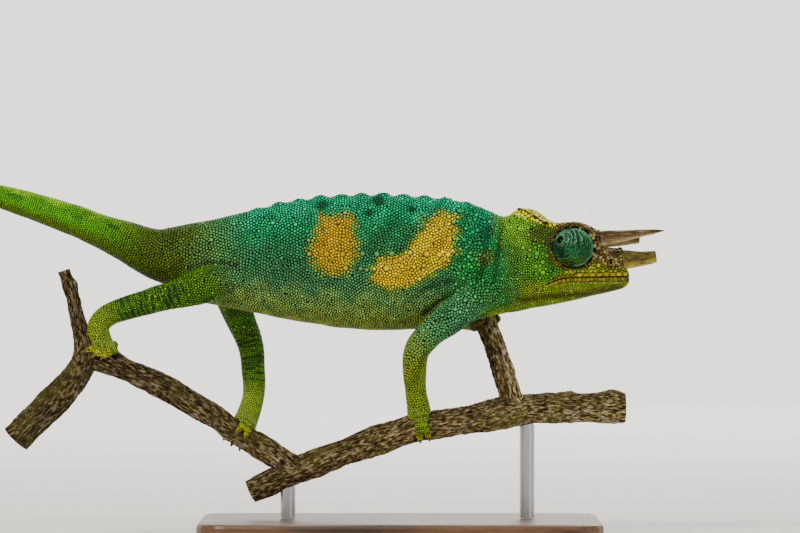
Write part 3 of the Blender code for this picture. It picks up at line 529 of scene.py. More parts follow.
def loftTrunk():
    start, end = body["span"]
    steps = math.ceil((end - start) / body["step"])
    places = [start + (end - start) * i / steps for i in range(steps + 1)]
    addLoft("body", "body", np.array([bodyRing(x) for x in places]), np.array(places))
    first, last = body["knobSpan"]
    count = round((last - first) / body["knobPitch"])
    for i in range(count + 1):
        x = first + body["knobPitch"] * i
        size = 0.72 + 0.28 * math.sin(math.pi * (i + 1) / (count + 2))
        size *= 1.0 + 0.06 * math.sin(i * 2.4)
        behind, top, ahead = (between(body["rows"], x + step)[0] for step in (-1, 0, 1))
        shape = [s * size - body["inset"] for s in body["knobSize"]]
        addBall("knob", Vector((x, 0, top - body["knobSunk"])), shape, math.atan2(ahead - behind, 2))


def loftHead():
    inset = body["inset"]
    for start, end, radius, endRadius in head["pedestals"]:
        addLoft("body", "pedestal", *tubeRings([(*start, radius), (*end, endRadius)], 1.0, 32, inset=inset))
    for side in (right, left):
        crest = []
        for x, z, radius in head["crest"]:
            crest.append((x, side * (float(bodySide(x, z)) + head["crestProud"] * radius), z, radius))
        addLoft("body", "crest", *tubeRings(crest, 0.8, 16, inset=inset * 0.8))
        addLoft("body", "rim", eyeRim(side), looped=True)
        for above in (1, -1):
            knots = []
            start = head["mouth"][1][0] - 1.5
            for i in range(15):
                x = start + (head["lipEnd"] - start) * i / 14
                z = mouthHeight(x) + above * head["lipOffset"]
                knots.append((x, side * (float(bodySide(x, z)) - 0.32), z, head["lipRadius"]))
            addLoft("body", "lip", *tubeRings(knots, 0.8, 12, inset=inset * 0.5))


def eyeRim(side):
    cx, cy, cz = eye["centre"]
    steps, count = 72, 12
    knots, rings = [], []
    for c, s in circle(steps):
        x, z = cx + eye["rimRadius"] * c, cz + eye["rimRadius"] * s
        knots.append(Vector((x, side * (float(bodySide(x, z)) * 0.4 + cy * 0.58), z)))
    for k in range(steps):
        out = across.cross((knots[(k + 1) % steps] - knots[k - 1]).normalized()).normalized()
        rings.append([knots[k] + (out * c + across * s) * (eye["rimThick"] - 0.2) for c, s in circle(count)])
    return np.array(rings)


def loftLimbs():
    for name, limb in limbs.items():
        limb["toeRoutes"], along = toeRoutes(limb)
        addLoft("limb", name, *tubeRings(limb["knots"], 0.8, 40, along, body["inset"] * 0.9))
        for i, toe in enumerate(limb["toeRoutes"]):
            addLoft("toe", f"{name}_toe_{i}", *tubeRings(toe["knots"], 0.5, 20, along, foot["inset"]))


loftTrunk()
loftHead()
addLoft("tail", "tail", *tubeRings(tail["knots"], tail["step"], tail["round"], inset=body["inset"] * 0.9))
loftLimbs()


def joinedLofts():
    points, faces, owners = [], [], []
    for number, loft in enumerate(lofts):
        rings = loft["rings"]
        made = ringFaces(*rings.shape[:2], loft["looped"])
        base = sum(map(len, points))
        points.append(rings.reshape(-1, 3))
        faces += [tuple(base + v for v in face) for face in made]
        owners += [number] * len(made)
    return np.concatenate(points), faces, np.array(owners)


def readMesh(items, field, width, kind=np.float32):
    values = np.empty(len(items) * width, kind)
    items.foreach_get(field, values)
    return values.reshape(-1, width)


def edgeArray(mesh):
    return readMesh(mesh.edges, "vertices", 2, np.int32)


def getPoints(mesh):
    return readMesh(mesh.vertices, "co", 3).astype(float) / mm


def setPoints(mesh, points):
    mesh.vertices.foreach_set("co", (points * mm).astype(np.float32).ravel())
    mesh.update()


def soften(points, edges, share, rounds, weight=1.0):
    # Each point goes a share of the way to its neighbours' mean, round after round
    count, pull = len(points), share * np.broadcast_to(weight, len(points))[:, None]
    ends, others = np.concatenate([edges, edges[:, ::-1]]).T
    total = np.bincount(ends, minlength=count).clip(1)
    for _ in range(rounds):
        sums = [np.bincount(ends, points[others, n], minlength=count) / total for n in range(3)]
        points = points + (np.column_stack(sums) - points) * pull
    return points


def distanceToLine(points, line):
    # Distance in the side view, x and z, from each point to a line through the given places
    spots, nearest = points[:, [0, 2]], np.full(len(points), 1e9)
    for start, end in zip(np.array(line)[:-1], np.array(line)[1:]):
        run = end - start
        t = np.clip((spots - start) @ run / (run @ run), 0, 1)
        nearest = np.minimum(nearest, np.linalg.norm(spots - start - t[:, None] * run, axis=1))
    return nearest


jawLine = ((26.4, 74.2), (35.3, 78.6), (46.7, 80.2), (59.4, 81.3), (72.6, 83.7))
folds = (  # line in the side view, depth, half width, and the least |y| where it shows
    (head["mouth"], 0.55, 0.34, 0.0),
    (((48.0, 84.3), (46.2, 83.2), (44.4, 81.0)), 0.35, 0.45, 2.0),  # crease behind its corner
    (jawLine, 0.28, 0.6, 2.0),
    (((29.2, 103.0), (27.4, 92.0), (25.0, 80.5)), 0.30, 0.9, 2.0),  # neck to shoulder
    (((33.6, 104.0), (32.0, 93.5), (30.6, 83.0)), 0.18, 0.7, 2.0),
    (((8.0, 74.5), (12.0, 78.0), (16.0, 80.6), (20.5, 83.2), (25.0, 84.8)), 0.85, 0.7, 4.0),  # over the arm
    (((6.4, 82.0), (12.5, 84.4), (18.0, 85.8)), 0.30, 0.6, 4.0),
    (((-72.0, 88.5), (-63.0, 91.5), (-54.0, 90.5)), 0.35, 0.9, 4.0),  # over the thigh
    (((49.6, 90.0), (48.8, 95.5), (50.6, 101.5)), 0.22, 0.7, 4.0),  # behind the eye
)


def evaluated(thing, layers=False):
    graph = bpy.context.evaluated_depsgraph_get()
    return bpy.data.meshes.new_from_object(
        thing.evaluated_get(graph), preserve_all_data_layers=layers, depsgraph=graph
    )


def makeSkin():
    points, faces, owners = joinedLofts()
    shell = addObject("shell", meshOf("shell", points, faces))
    faceOut(shell.data)
    remesh = shell.modifiers.new("merge", "REMESH")
    remesh.mode, remesh.voxel_size = "VOXEL", body["voxel"] * mm
    mesh = evaluated(shell)
    bpy.data.objects.remove(shell)
    keepLargest(mesh)
    print("skin merged:", len(mesh.polygons), "quads")

    spots, edges = getPoints(mesh), edgeArray(mesh)
    roots = fade(np.abs(spots[:, 0] - tail["knots"][0][0]), 2.0, 7.0)
    for limb in limbs.values():
        roots = np.maximum(roots, fade(np.linalg.norm(spots - limb["knots"][1][:3], axis=1), 5.0, 9.5))
    setPoints(mesh, soften(soften(spots, edges, 0.5, 14, roots), edges, 0.5, 1))
    refineHead(mesh)

    spots, edges = getPoints(mesh), edgeArray(mesh)
    normals = readMesh(mesh.vertex_normals, "vector", 3).astype(float)
    x, y, z = spots[:, 0], np.abs(spots[:, 1]), spots[:, 2]
    depth = np.zeros(len(spots))
    for line, deep, wide, least in folds:
        dent = deep * np.exp(-((distanceToLine(spots, line) / wide) ** 2))
        depth += np.where((x > -76) & (z > 70), dent * smoothStep(y, least - 0.01, least + 2), 0)
    nx, nz, wide = head["nostril"]
    depth += np.where(y > 2.5, 0.9 * np.exp(-((np.hypot(x - nx, z - nz) / wide) ** 2)), 0)
    depth += 0.10 * wavy(spots, 7.0, 11) * (x < 30)
    setPoints(mesh, soften(spots - normals * depth[:, None], edges, 0.25, 1))
    carveSockets(mesh)
    return mesh, points, faces, owners


def keepLargest(mesh):
    with reshaping(mesh) as shape:
        loose, islands = set(shape.verts), []
        while loose:
            island = [loose.pop()]
            for spot in island:
                near = {edge.other_vert(spot) for edge in spot.link_edges} & loose
                loose -= near
                island += near
            islands.append(island)
        for island in sorted(islands, key=len)[:-1]:
            bmesh.ops.delete(shape, geom=island, context="VERTS")


def refineHead(mesh):
    # The head's folds and lids are finer than the body's, so its faces are halved once more
    with reshaping(mesh) as shape:
        chosen = [edge for edge in shape.edges
                  if all(spot.co.x > 43 * mm and spot.co.z > 76 * mm for spot in edge.verts)]
        bmesh.ops.subdivide_edges(shape, edges=chosen, cuts=1, use_grid_fill=True)
    spots = getPoints(mesh)
    setPoints(mesh, soften(spots, edgeArray(mesh), 0.4, 2, smoothStep(spots[:, 0], 42.0, 45.0)))


def carveSockets(mesh):
    # The turrets sit in hollows of the head's sides
    skin = addObject("carved", mesh.copy())
    cx, cy, cz = eye["centre"]
    for side in (right, left):
        cutter = bpy.data.meshes.new("socket")
        with reshaping(cutter) as shape:
            bmesh.ops.create_uvsphere(shape, u_segments=64, v_segments=32, radius=mm)
            place = Matrix.Translation(Vector((cx, side * cy, cz)) * mm)
            shape.transform(place @ Matrix.Diagonal((*(s + 0.12 for s in eye["size"]), 1)))
        socket = addObject("socket", cutter)
        cut = skin.modifiers.new("socket", "BOOLEAN")
        cut.operation, cut.solver, cut.object = "DIFFERENCE", "MANIFOLD", socket
        carved = evaluated(skin)
        skin.modifiers.clear()
        skin.data = carved
        bpy.data.objects.remove(socket)
    # The cut leaves its faces in another order on each run, so they are put in a fixed one
    faces = [tuple(face.vertices) for face in skin.data.polygons]
    starts = [face.index(min(face)) for face in faces]
    points = getPoints(skin.data) * mm
    bpy.data.objects.remove(skin)
    mesh.clear_geometry()
    mesh.from_pydata(points.tolist(), [], sorted(f[start:] + f[:start] for f, start in zip(faces, starts)))


skinMesh, loftPoints, loftFaces, loftOwners = makeSkin()
print("skin shaped:", len(skinMesh.polygons), "faces")

loftTree = BVHTree.FromPolygons(loftPoints.tolist(), loftFaces)
skinPoints = getPoints(skinMesh)
skinFaces = [tuple(face.vertices) for face in skinMesh.polygons]
skinTree = BVHTree.FromPolygons(skinPoints.tolist(), skinFaces)


def unit(vectors):
    return vectors / np.linalg.norm(vectors, axis=-1, keepdims=True).clip(1e-9)


def ringFrames(loft):
    # Centre, forward, side and rise of each ring of a loft, to find angles round it
    centres = loft["rings"].mean(axis=1)
    ahead = unit(np.gradient(centres, axis=0))
    rise = loft["rings"][:, 0] - centres
    rise = unit(rise - ahead * np.sum(rise * ahead, axis=1)[:, None])
    return centres, ahead, np.cross(ahead, rise), rise


for loft in lofts:
    if loft["kind"] != "body":
        loft["frames"] = ringFrames(loft)


def describe(points):
    # What grows where: the loft under each point, how far along it, how far round, and the way to the tail
    owners = np.array([loftOwners[loftTree.find_nearest(Vector(p))[2]] for p in points])
    along = points[:, 0].copy()
    top, low, half, share, _upper, _lower = bodyAt(along)
    middle = low + (top - low) * share
    tall = np.where(points[:, 2] > middle, top - middle, middle - low)
    turn = np.arctan2(points[:, 1] / half, (points[:, 2] - middle) / tall)
    lie = np.tile((-1.0, 0.0, 0.0), (len(points), 1))
    for number in np.unique(owners):
        loft = lofts[number]
        if "frames" not in loft:
            continue
        mine = np.nonzero(owners == number)[0]
        centres, ahead, side, rise = loft["frames"]
        ring = np.linalg.norm(points[mine, None] - centres[None], axis=2).argmin(axis=1)
        off = points[mine] - centres[ring]
        forward, aside, over = (np.sum(off * way[ring], axis=1) for way in (ahead, side, rise))
        along[mine], turn[mine] = loft["fars"][ring] + forward, np.arctan2(aside, over)
        lie[mine] = ahead[ring]
    names, kinds = (np.array([loft[key] for loft in lofts])[owners] for key in ("name", "kind"))
    return {"points": points, "owner": owners, "kind": kinds, "name": names, "along": along,
            "fore": np.char.startswith(names, "fore"), "round": turn / fullTurn % 1.0, "lie": lie}


# Markings: the colours of the live animal's scales, with painted shade on the folds' creases and the far
# front toes, for skin and coat alike

marks = {
    "back": (  # share of the body's height and the colour there
        (0.00, "#a6b444"), (0.12, "#85ab4c"), (0.32, "#4e9159"), (0.52, "#2f9359"), (0.74, "#00ac65"),
        (0.90, "#00bb7c"), (1.00, "#10cd92"),
    ),
    "frontPatch": (
        (13.5, 107.6), (18.8, 106.6), (17.5, 101.0), (17.8, 94.7), (14.5, 90.4), (8.3, 87.1),
        (2.3, 83.8), (-3.3, 82.8), (-8.9, 85.5), (-8.9, 90.1), (-5.9, 92.4), (2.3, 95.0),
        (5.3, 99.0), (8.3, 104.6),
    ),
    "rearPatch": (
        (-26.1, 106.3), (-15.8, 106.6), (-14.5, 94.7), (-17.8, 88.4), (-25.1, 88.4), (-29.7, 94.7),
        (-26.4, 102.3),
    ),
    "frontYellow": "#eecc00", "rearYellow": "#d6b000", "fringe": "#90b804", "shoulder": "#159a3d",
    "shoulderSpot": "#7c6a18", "midFlank": "#2d6b36", "hip": "#688d39", "neck": "#58962a",
    "nape": "#84cc20", "throat": "#94bc18", "face": "#5e8800", "cheek": "#56a61c", "temple": "#577115",
    "casque": "#b8b400", "brow": "#c0a952", "snout": "#433413", "cupLight": "#a8965c", "cupDark": "#4c3222",
    "frontTeal": "#0a8f58", "rim": "#594e1a", "rimRed": "#834200", "lore": "#abab00", "upperLip": "#a09400",
    "lowerLip": "#8a7404", "jaw": "#98b818", "gular": "#5c4e1c", "tailTop": "#a8f400",
    "tailSide": "#64c204", "tailUnder": "#668604", "tailRoot": "#53710a", "upperArm": "#52a666",
    "forearm": "#9cb422", "hindLeg": "#5c9410", "bars": "#0e2c18", "footSide": "#9cba2c",
    # The far front foot's toe colour is painted shade: those toes lie in the body's shadow
    "toeTip": "#dde200", "shadowedHand": "#4c4c34", "dark": "#043721",
}


def insidePatch(spots, corners):
    # Signed distance in millimetres to a marking's edge in the side view, positive inside
    corners = np.array(corners)
    x, z = spots[:, 0], spots[:, 2]
    inside = np.zeros(len(spots), bool)
    for a, b in zip(corners, np.roll(corners, -1, axis=0)):
        with np.errstate(divide="ignore", invalid="ignore"):
            inside ^= ((a[1] > z) != (b[1] > z)) & (x < (b[0] - a[0]) * (z - a[1]) / (b[1] - a[1]) + a[0])
    nearest = distanceToLine(spots, [*corners, corners[0]])
    return np.where(inside, nearest, -nearest)


def oval(spots, x, z, wide, tall, soft=0.5):
    # 1 inside an oval of the side view, falling to 0 round it
    return fade(np.hypot((spots[:, 0] - x) / wide, (spots[:, 2] - z) / tall), 1 - soft, 1 + soft)


def lay(colours, *layers):
    # Each layer has how far it covers the colours at every place, and a marking's name or a hex colour
    for share, name in layers:
        colours = colours + (toLinear(marks.get(name, name)) - colours) * np.clip(share, 0, 1)[:, None]
    return colours


def plain(name, count):
    return np.tile(toLinear(marks[name]), (count, 1))


def heightShare(spots):
    # 0 at the underside and 1 at the back
    top, low = bodyAt(spots[:, 0])[:2]
    return np.clip((spots[:, 2] - low) / (top - low), 0, 1)


def paint(place):
    spots, kind, along = place["points"], place["kind"], place["along"]
    x, z, y = spots[:, 0], spots[:, 2], np.abs(spots[:, 1])
    high, ragged = heightShare(spots), wavy(spots, 5.0, 3)
    stops, shades = zip(*marks["back"])
    level, shades = np.clip(high + 0.05 * ragged, 0, 1), np.array([*map(toLinear, shades)])
    colours = np.column_stack([np.interp(level, stops, shade) for shade in shades.T])
    flank = oval(spots, -2.0, 98.5, 10, 6.5) + 0.7 * oval(spots, -36, 92, 12, 9)
    layers = [
        (flank * (0.6 + 0.25 * ragged), "midFlank"),
        (smoothStep(x, 12, 22) * fade(x, 33, 42) * fade(high, 0.72, 0.95) * 0.75, "shoulder"),
        (oval(spots, 28.0, 93.4, 3.0, 2.6) * 0.55, "shoulderSpot"),
        (oval(spots, 25.0, 102.0, 5.5, 7.0) * 0.85, "frontTeal"), (smoothStep(-x, 46, 66) * 0.8, "hip"),
        (smoothStep(-x + 3 * ragged, 62, 76), "tailRoot"),
    ]
    for patch, yellow, soft in (("frontPatch", "frontYellow", 0.7), ("rearPatch", "rearYellow", 2.0)):
        edge = insidePatch(spots, marks[patch]) + 0.7 * wavy(spots, 3.0, 5) + 0.7 * wavy(spots, 1.1, 6)
        layers += [(smoothStep(edge, -2.6, -0.2) * 0.55, "fringe"), (smoothStep(edge, -soft, soft), yellow)]
    for bx, bz, wide in ((-25.8, 110.5, 2.0), (-7.0, 111.8, 2.2), (-10.0, 108.0, 1.6), (4.0, 109.0, 1.4)):
        layers.append((oval(spots, bx, bz, wide, wide * 0.8) * 0.8, "dark"))

    neck, inHead = smoothStep(x - 6 * (1 - high), 28, 36) * fade(x, 44, 50), smoothStep(x, 35, 42)
    layers += [
        (neck, "neck"), (neck * smoothStep(high, 0.6, 0.85), "nape"),
        (oval(spots, 39.8, 101.5, 3.2, 4.4) * 0.8, "nape"), (smoothStep(x, 44, 50), "face"),
        (inHead * oval(spots, 47.5, 90.5, 7.5, 6.5), "cheek"),
        (smoothStep(x, 38, 44) * fade(z, 84.0, 86.4), "jaw"),
        (inHead * fade(distanceToLine(spots, jawLine), 0.3, 1.7) * 0.75, "gular"),
        (smoothStep(x, 24, 34) * fade(x, 48, 60) * fade(high, 0.02, 0.10), "throat"),
    ]
    # Painted shade: the skin is darkened towards black along the folds' creases
    for line, _deep, wide, least in folds[3:]:
        crease = np.exp(-((distanceToLine(spots, line) / (wide + 0.25)) ** 2)) * (y > least) * (x > -70)
        layers.append((0.6 * crease * (kind == "body"), "#000000"))
    peak = ((36.8, 107.2), (39.5, 112), (45.5, 112), (52.0, 104.6), (50.0, 103.2), (44.6, 104.9), (40, 107.0))
    face = smoothStep(x + 0.35 * (z - 92), 61.2, 64.2) * smoothStep(z, 88.6, 90.4)
    brow = smoothStep(x, 50, 52) * smoothStep(z, 102.0, 103.2)
    speckle = 0.35 + 0.65 * smoothStep(wavy(spots, 1.6, 9), 0.1, 0.5)
    rim = fade(np.hypot(x - eye["centre"][0], z - eye["centre"][2]), 7.6, 8.6)
    lips, lift = smoothStep(x, 50, 52), z - mouthHeight(x)
    layers += [
        (oval(spots, 46.6, 100.8, 4.6, 3.8) * (y > 3) * 0.95, "temple"),
        (smoothStep(insidePatch(spots, peak), -0.5, 0.5), "casque"), (np.maximum(face, brow), "snout"),
        (np.maximum(brow, face * 0.45) * speckle, "brow"),
        (oval(spots, 63.0, 90.6, 4.6, 1.6) * (x > 56) * 0.9, "lore"), (rim * (x > 48) * 0.8, "rim"),
        (rim * oval(spots, 51.5, 91.0, 3.0, 3.5) * 0.55, "rimRed"),
        (lips * smoothStep(lift, 0.0, 0.25) * fade(lift, 1.5, 1.9), "upperLip"),
        (lips * smoothStep(-lift, 0.0, 0.25) * fade(-lift, 1.2, 1.7), "lowerLip"),
        (smoothStep(x, 71.5, 74) * (lift > 0) * 0.6, "lore"),
    ]
    patchy = 0.16 * wavy(spots, 4.5, 61) + 0.12 * wavy(spots, 1.9, 62)
    colours = lay(colours, *layers) * np.exp(patchy)[:, None]
    onTail = (kind == "tail") * smoothStep(along, -1, 12)
    onLimb = np.where(kind == "toe", 1.0, (kind == "limb") * smoothStep(along, 5, 13))
    for share, over in ((onTail, paintTail(place, ragged)), (onLimb, paintLimbs(place, ragged))):
        colours = colours + (over - colours) * share[:, None]
    return np.clip(colours, 0, 1)


def paintTail(place, ragged):
    along, over = place["along"], np.cos(place["round"] * fullTurn)
    blotch = smoothStep(wavy(place["points"], 4.5, 21) + 0.35 * np.sin(along * 0.62), 0.55, 0.95)
    return lay(
        plain("tailSide", len(along)),
        (smoothStep(-over, 0.1, 0.7), "tailUnder"),
        (smoothStep(over + 0.25 * ragged, 0.55, 0.85) * (0.75 + 0.25 * np.sin(along * 0.5)), "tailTop"),
        (fade(along, 6, 34), "tailRoot"), (blotch * 0.55 * smoothStep(over, -0.2, 0.5), "dark"),
        (smoothStep(np.sin(along * 0.42 + 0.8), 0.55, 0.95) * smoothStep(along, 70, 90) * 0.45, "bars"),
    )


def paintLimbs(place, ragged):
    along, spots, fore, toes = place["along"], place["points"], place["fore"], place["kind"] == "toe"
    ends = np.array([loft["fars"][-1] if loft["kind"] == "toe" else 99 for loft in lofts])[place["owner"]]
    arm = lay(plain("upperArm", len(along)), (smoothStep(along, 22, 40), "forearm"))
    bars = smoothStep(np.sin(along * 3.3 + 1.6 * ragged) + 0.5 * wavy(spots, 1.6, 53), 0.35, 0.9) * ~fore
    return lay(
        np.where(fore[:, None], arm, plain("hindLeg", len(along))),
        (bars * smoothStep(along, 12, 24) * 0.8 * ~toes, "bars"),
        (smoothStep(wavy(spots, 5.0, 51), 0.35, 0.9) * 0.45 * ~toes, "bars"),
        (np.where(toes, 1.0, smoothStep(along, 38, 50)), "footSide"),
        (toes * smoothStep(along, ends - 3.4, ends - 2.2), "toeTip"),
        # Painted shade on the far front foot's toes, which lie in the body's shadow
        (toes * fore * (spots[:, 1] > 0) * 0.7, "shadowedHand"),
        (smoothStep(np.sin(along * 3.6), 0.45, 0.9) * toes * 0.6, "bars"),
    )


def scalySkin(name, gloss):
    # Keratin scales, grown, with a satin shine: painted shade darkens each scale's sides and the skin between
    # the scales, and a painted highlight brightens the domed tops
    material, tree, shader = startMaterial(name)
    tint = addNode(tree, "Attribute", attribute_name="tint").outputs
    rise = addNode(tree, "Attribute", attribute_name="rise").outputs["Fac"]
    coords = addNode(tree, "TexCoord").outputs["Object"]
    mottle = addNode(tree, "TexNoise", {"Vector": coords, "Scale": 1 / (0.5 * mm), "Detail": 3.0})
    fine = addNode(tree, "TexNoise", {"Vector": coords, "Scale": 1 / (0.16 * mm), "Detail": 2.0})
    # Painted shade and highlight: the colour is dark low on each scale and in the gaps, bright at the tops
    steep = addNode(tree, "Math", (rise, 2.3), operation="POWER")
    least = addNode(tree, "MapRange", (tint["Alpha"], 0.0, 1.0, 0.04, 0.11))
    shade = addNode(tree, "MapRange", (steep, 0.0, 1.0, least, 1.5))
    vary = addNode(tree, "MapRange", (mottle, 0.3, 0.7, 0.82, 1.12))
    both = addNode(tree, "Math", (shade, vary), operation="MULTIPLY")
    feed(tree, shader, {
        "Base Color": addNode(tree, "VectorMath", {0: tint["Color"], "Scale": both}, operation="SCALE"),
        "Normal": addNode(tree, "Bump", {"Height": fine, "Strength": 0.25, "Distance": 0.04 * mm}),
        "Roughness": addNode(tree, "MapRange", (rise, 0.0, 1.0, 0.75, gloss)),
        "IOR": 1.5, "Specular IOR Level": 0.16,
    })
    return material


skinFinish = scalySkin("keratin_scales", 0.42)

skinPlace = describe(skinPoints)
setTint(skinMesh, paint(skinPlace))
skinMesh.shade_smooth()
fleshNodes = ["head", "lower_jaw", "neck", "torso", "pelvis"] + [f"tail_{i}" for i in range(1, 8)]
for name, limb in limbs.items():
    fleshNodes += [part + name[4:] for part in limb["parts"]]
newPiece("skin", skinMesh, skinFinish, "scaly_skin", *fleshNodes)
print("skin painted")


# Scales: seeds are laid in rows over each form, thinned, settled on the skin, and grown by Geometry Nodes

# The rise of each ring sets painted shade and highlight: a low rise is painted dark, as in the cup's sunken
# middle
scaleShapes = {  # sides, squareness, rings of radius, height and rise, and the middle's height and rise
    "1_granule": (8, 2.0, ((1.0, -0.35, 0), (0.80, 0.48, 0.56)), (0.86, 1)),
    "2_bead": (10, 2.0, ((1.0, -0.3, 0), (0.92, 0.34, 0.36), (0.64, 0.72, 0.86)), (0.84, 1)),
    "3_plate": (12, 3.2, ((1.0, -0.3, 0), (0.93, 0.36, 0.55), (0.66, 0.62, 0.95)), (0.70, 1)),
    "4_cup": (10, 2.0, ((1.0, -0.3, 0), (0.9, 0.4, 0.5), (0.74, 0.66, 1), (0.48, 0.58, 0.85)), (0.34, 0.3)),
    "5_tile": (8, 2.6, ((1.0, -0.35, 0), (0.83, 0.46, 0.56)), (0.78, 1)),
    "6_boss": (12, 2.0, ((1.0, -0.3, 0), (0.94, 0.3, 0.2), (0.78, 0.6, 0.55), (0.48, 0.82, 0.92)), (0.92, 1)),
}
granule, bead, plate, cup, tile, boss = range(6)
coat = {
    "closest": 0.68,  # least share of the mean spacing kept between two seeds while they are laid
    "hole": 0.58,  # share of the spacing from which an empty place is filled
    "darts": 120000, "settle": 6, "crestBeads": 24, "crestBead": 1.3, "jitter": 0.06,
    "patch": 0.0015,  # half width of each scale's patch on the unwrap
    "heights": (0.62, 0.60, 0.52, 0.66, 0.62, 0.56),  # of each shape, for a radius of 1
}
tubercles = (  # x, z, width and colour of the large scales that stand out on each side
    (-29.7, 94.5, 1.9, "#807624"), (-24.1, 94.5, 2.3, "#8f7a20"), (-18.8, 94.4, 2.0, "#9d7e0a"),
    (-12.2, 94.6, 2.1, "#4d8752"), (-7.6, 94.4, 2.1, "#488351"), (-2.6, 94.6, 2.1, "#3a8e56"),
    (3.3, 94.9, 2.0, "#72a151"), (8.9, 94.5, 2.4, "#bf9900"), (12.9, 94.3, 2.1, "#bc9d1e"),
    (15.8, 94.4, 2.0, "#bb9910"), (20.2, 94.6, 1.7, "#2a9144"), (23.2, 94.9, 1.6, "#349336"),
    (-17.8, 89.8, 2.0, "#7b7f34"), (-12.9, 89.6, 1.8, "#5d783c"), (-10.9, 89.3, 1.6, "#638243"),
    (-8.4, 89.6, 1.4, "#7e9c51"), (-4.3, 89.9, 2.4, "#c0a843"), (0.7, 90.4, 1.9, "#bc9400"),
    (2.7, 90.0, 1.8, "#bc9100"), (4.6, 90.2, 1.5, "#bc990c"), (7.9, 90.6, 1.6, "#bb9400"),
    (25.4, 102.3, 1.8, "#008d72"), (21.1, 99.3, 1.8, "#008675"), (22.0, 108.2, 1.5, "#14996e"),
    (25.2, 107.4, 1.5, "#25a173"), (27.6, 106.4, 1.5, "#2da279"), (29.6, 105.2, 1.4, "#39a279"),
    (11.3, 107.6, 1.6, "#65a966"), (8.1, 107.2, 1.4, "#7aac5d"), (16.1, 106.8, 1.8, "#b9b35a"),
    (20.7, 104.0, 1.5, "#06915a"), (23.0, 98.3, 1.6, "#279739"), (26.2, 98.0, 1.5, "#36952d"),
    (21.0, 90.4, 1.5, "#168c40"), (25.9, 90.9, 1.6, "#38942a"), (27.8, 94.0, 1.4, "#409222"),
    (1.9, 105.3, 1.5, "#129458"), (-3.5, 107.8, 1.4, "#129963"), (5.0, 110.2, 1.4, "#19996a"),
    (40.4, 96.5, 1.6, "#7daa03"), (42.6, 95.8, 1.5, "#68a620"), (44.3, 96.6, 1.5, "#1c903a"),
    (44.9, 94.7, 2.0, "#359a1d"), (46.8, 91.7, 2.0, "#60a400"), (44.6, 90.4, 1.7, "#74a500"),
    (46.9, 88.3, 2.0, "#59a100"), (49.4, 88.8, 1.3, "#379915"), (48.4, 93.9, 1.4, "#6b9d04"),
    (47.0, 97.4, 1.2, "#4c841a"), (42.0, 92.6, 1.2, "#759e0d"), (43.0, 87.2, 1.2, "#689900"),
    (65.3, 90.6, 1.7, "#8f9508"), (62.6, 89.9, 1.2, "#818e11"), (68.2, 89.4, 1.1, "#8c8520"),
)
lipRows = (  # first x, pitch, count, height over the mouth, width, height to width, colours
    (58.9, 2.2, 8, 0.76, 2.02, 0.70, ("#a8a000", "#988a00", "#a09404")),
    (50.9, 1.33, 6, 0.60, 1.24, 0.84, ("#665812", "#706814")),
    (49.4, 1.22, 1, 0.55, 0.9, 0.9, ("#685900",)),
    (49.8, 1.32, 19, -0.66, 1.22, 1.06, ("#706a18", "#78741c", "#645c14")),
    (54.6, 1.36, 14, 2.05, 1.16, 0.9, ("#7d8e0d", "#859020", "#6b801e")),
    (51.4, 1.42, 16, -2.12, 1.14, 0.94, ("#858b17", "#758820", "#929731")),
)
spacingRules = {
    "body": 1.12, "ridge": 1.0, "belly": 0.95, "neck": 0.86, "throat": 0.74, "head": 0.98, "casque": 1.3,
    "snout": 1.22, "jaw": 0.84, "tailRoot": 0.98, "tail": 0.78, "arm": 1.2, "wrist": 0.9, "thigh": 0.98,
    "shank": 0.82, "toe": 0.66,
}


def spacingAlong(kind, fore, along):
    # The rows' own spacing on tail, limbs and toes
    rule = spacingRules
    if kind == "tail":
        return blend(rule["tailRoot"], rule["tail"], smoothStep(along, 2, 30)) \
            * (1 - 0.28 * smoothStep(along, 110, 165))
    if kind == "toe":
        return rule["toe"] + 0 * along
    root, end = ("arm", "wrist") if fore else ("thigh", "shank")
    return blend(rule[root], rule[end], smoothStep(along, 10, 42))


def crownHeight(x):
    return np.interp(x, (36, 40, 50), (107.5, 106.5, 103.4))


def spacingAt(place):
    spots, kind, along, fore = (place[key] for key in ("points", "kind", "along", "fore"))
    x, z, high = spots[:, 0], spots[:, 2], heightShare(spots)
    size = spacingRules["belly"]
    for name, share in (
        ("body", smoothStep(high, 0.2, 0.5)), ("ridge", smoothStep(high, 0.86, 0.97)),
        ("neck", smoothStep(x, 26, 32)), ("throat", smoothStep(x, 28, 36) * fade(high, 0.08, 0.22)),
        ("head", smoothStep(x, 36, 42) * smoothStep(high, 0.22, 0.32)),
        ("casque", smoothStep(x, 36, 38) * fade(x, 51, 53) * smoothStep(z - crownHeight(x), -0.6, 0.4)),
        ("snout", smoothStep(x, 59, 63) * smoothStep(z, 88.4, 89.6)),
        ("jaw", smoothStep(x, 44, 48) * fade(z, 85.4, 86.4)),
    ):
        size = blend(size, spacingRules[name], share)
    for part, mine in (("tail", kind == "tail"), ("limb", kind == "limb"), ("toe", kind == "toe")):
        for front in (True, False):
            size = np.where(mine & (fore == front), spacingAlong(part, front, along), size)
    return size


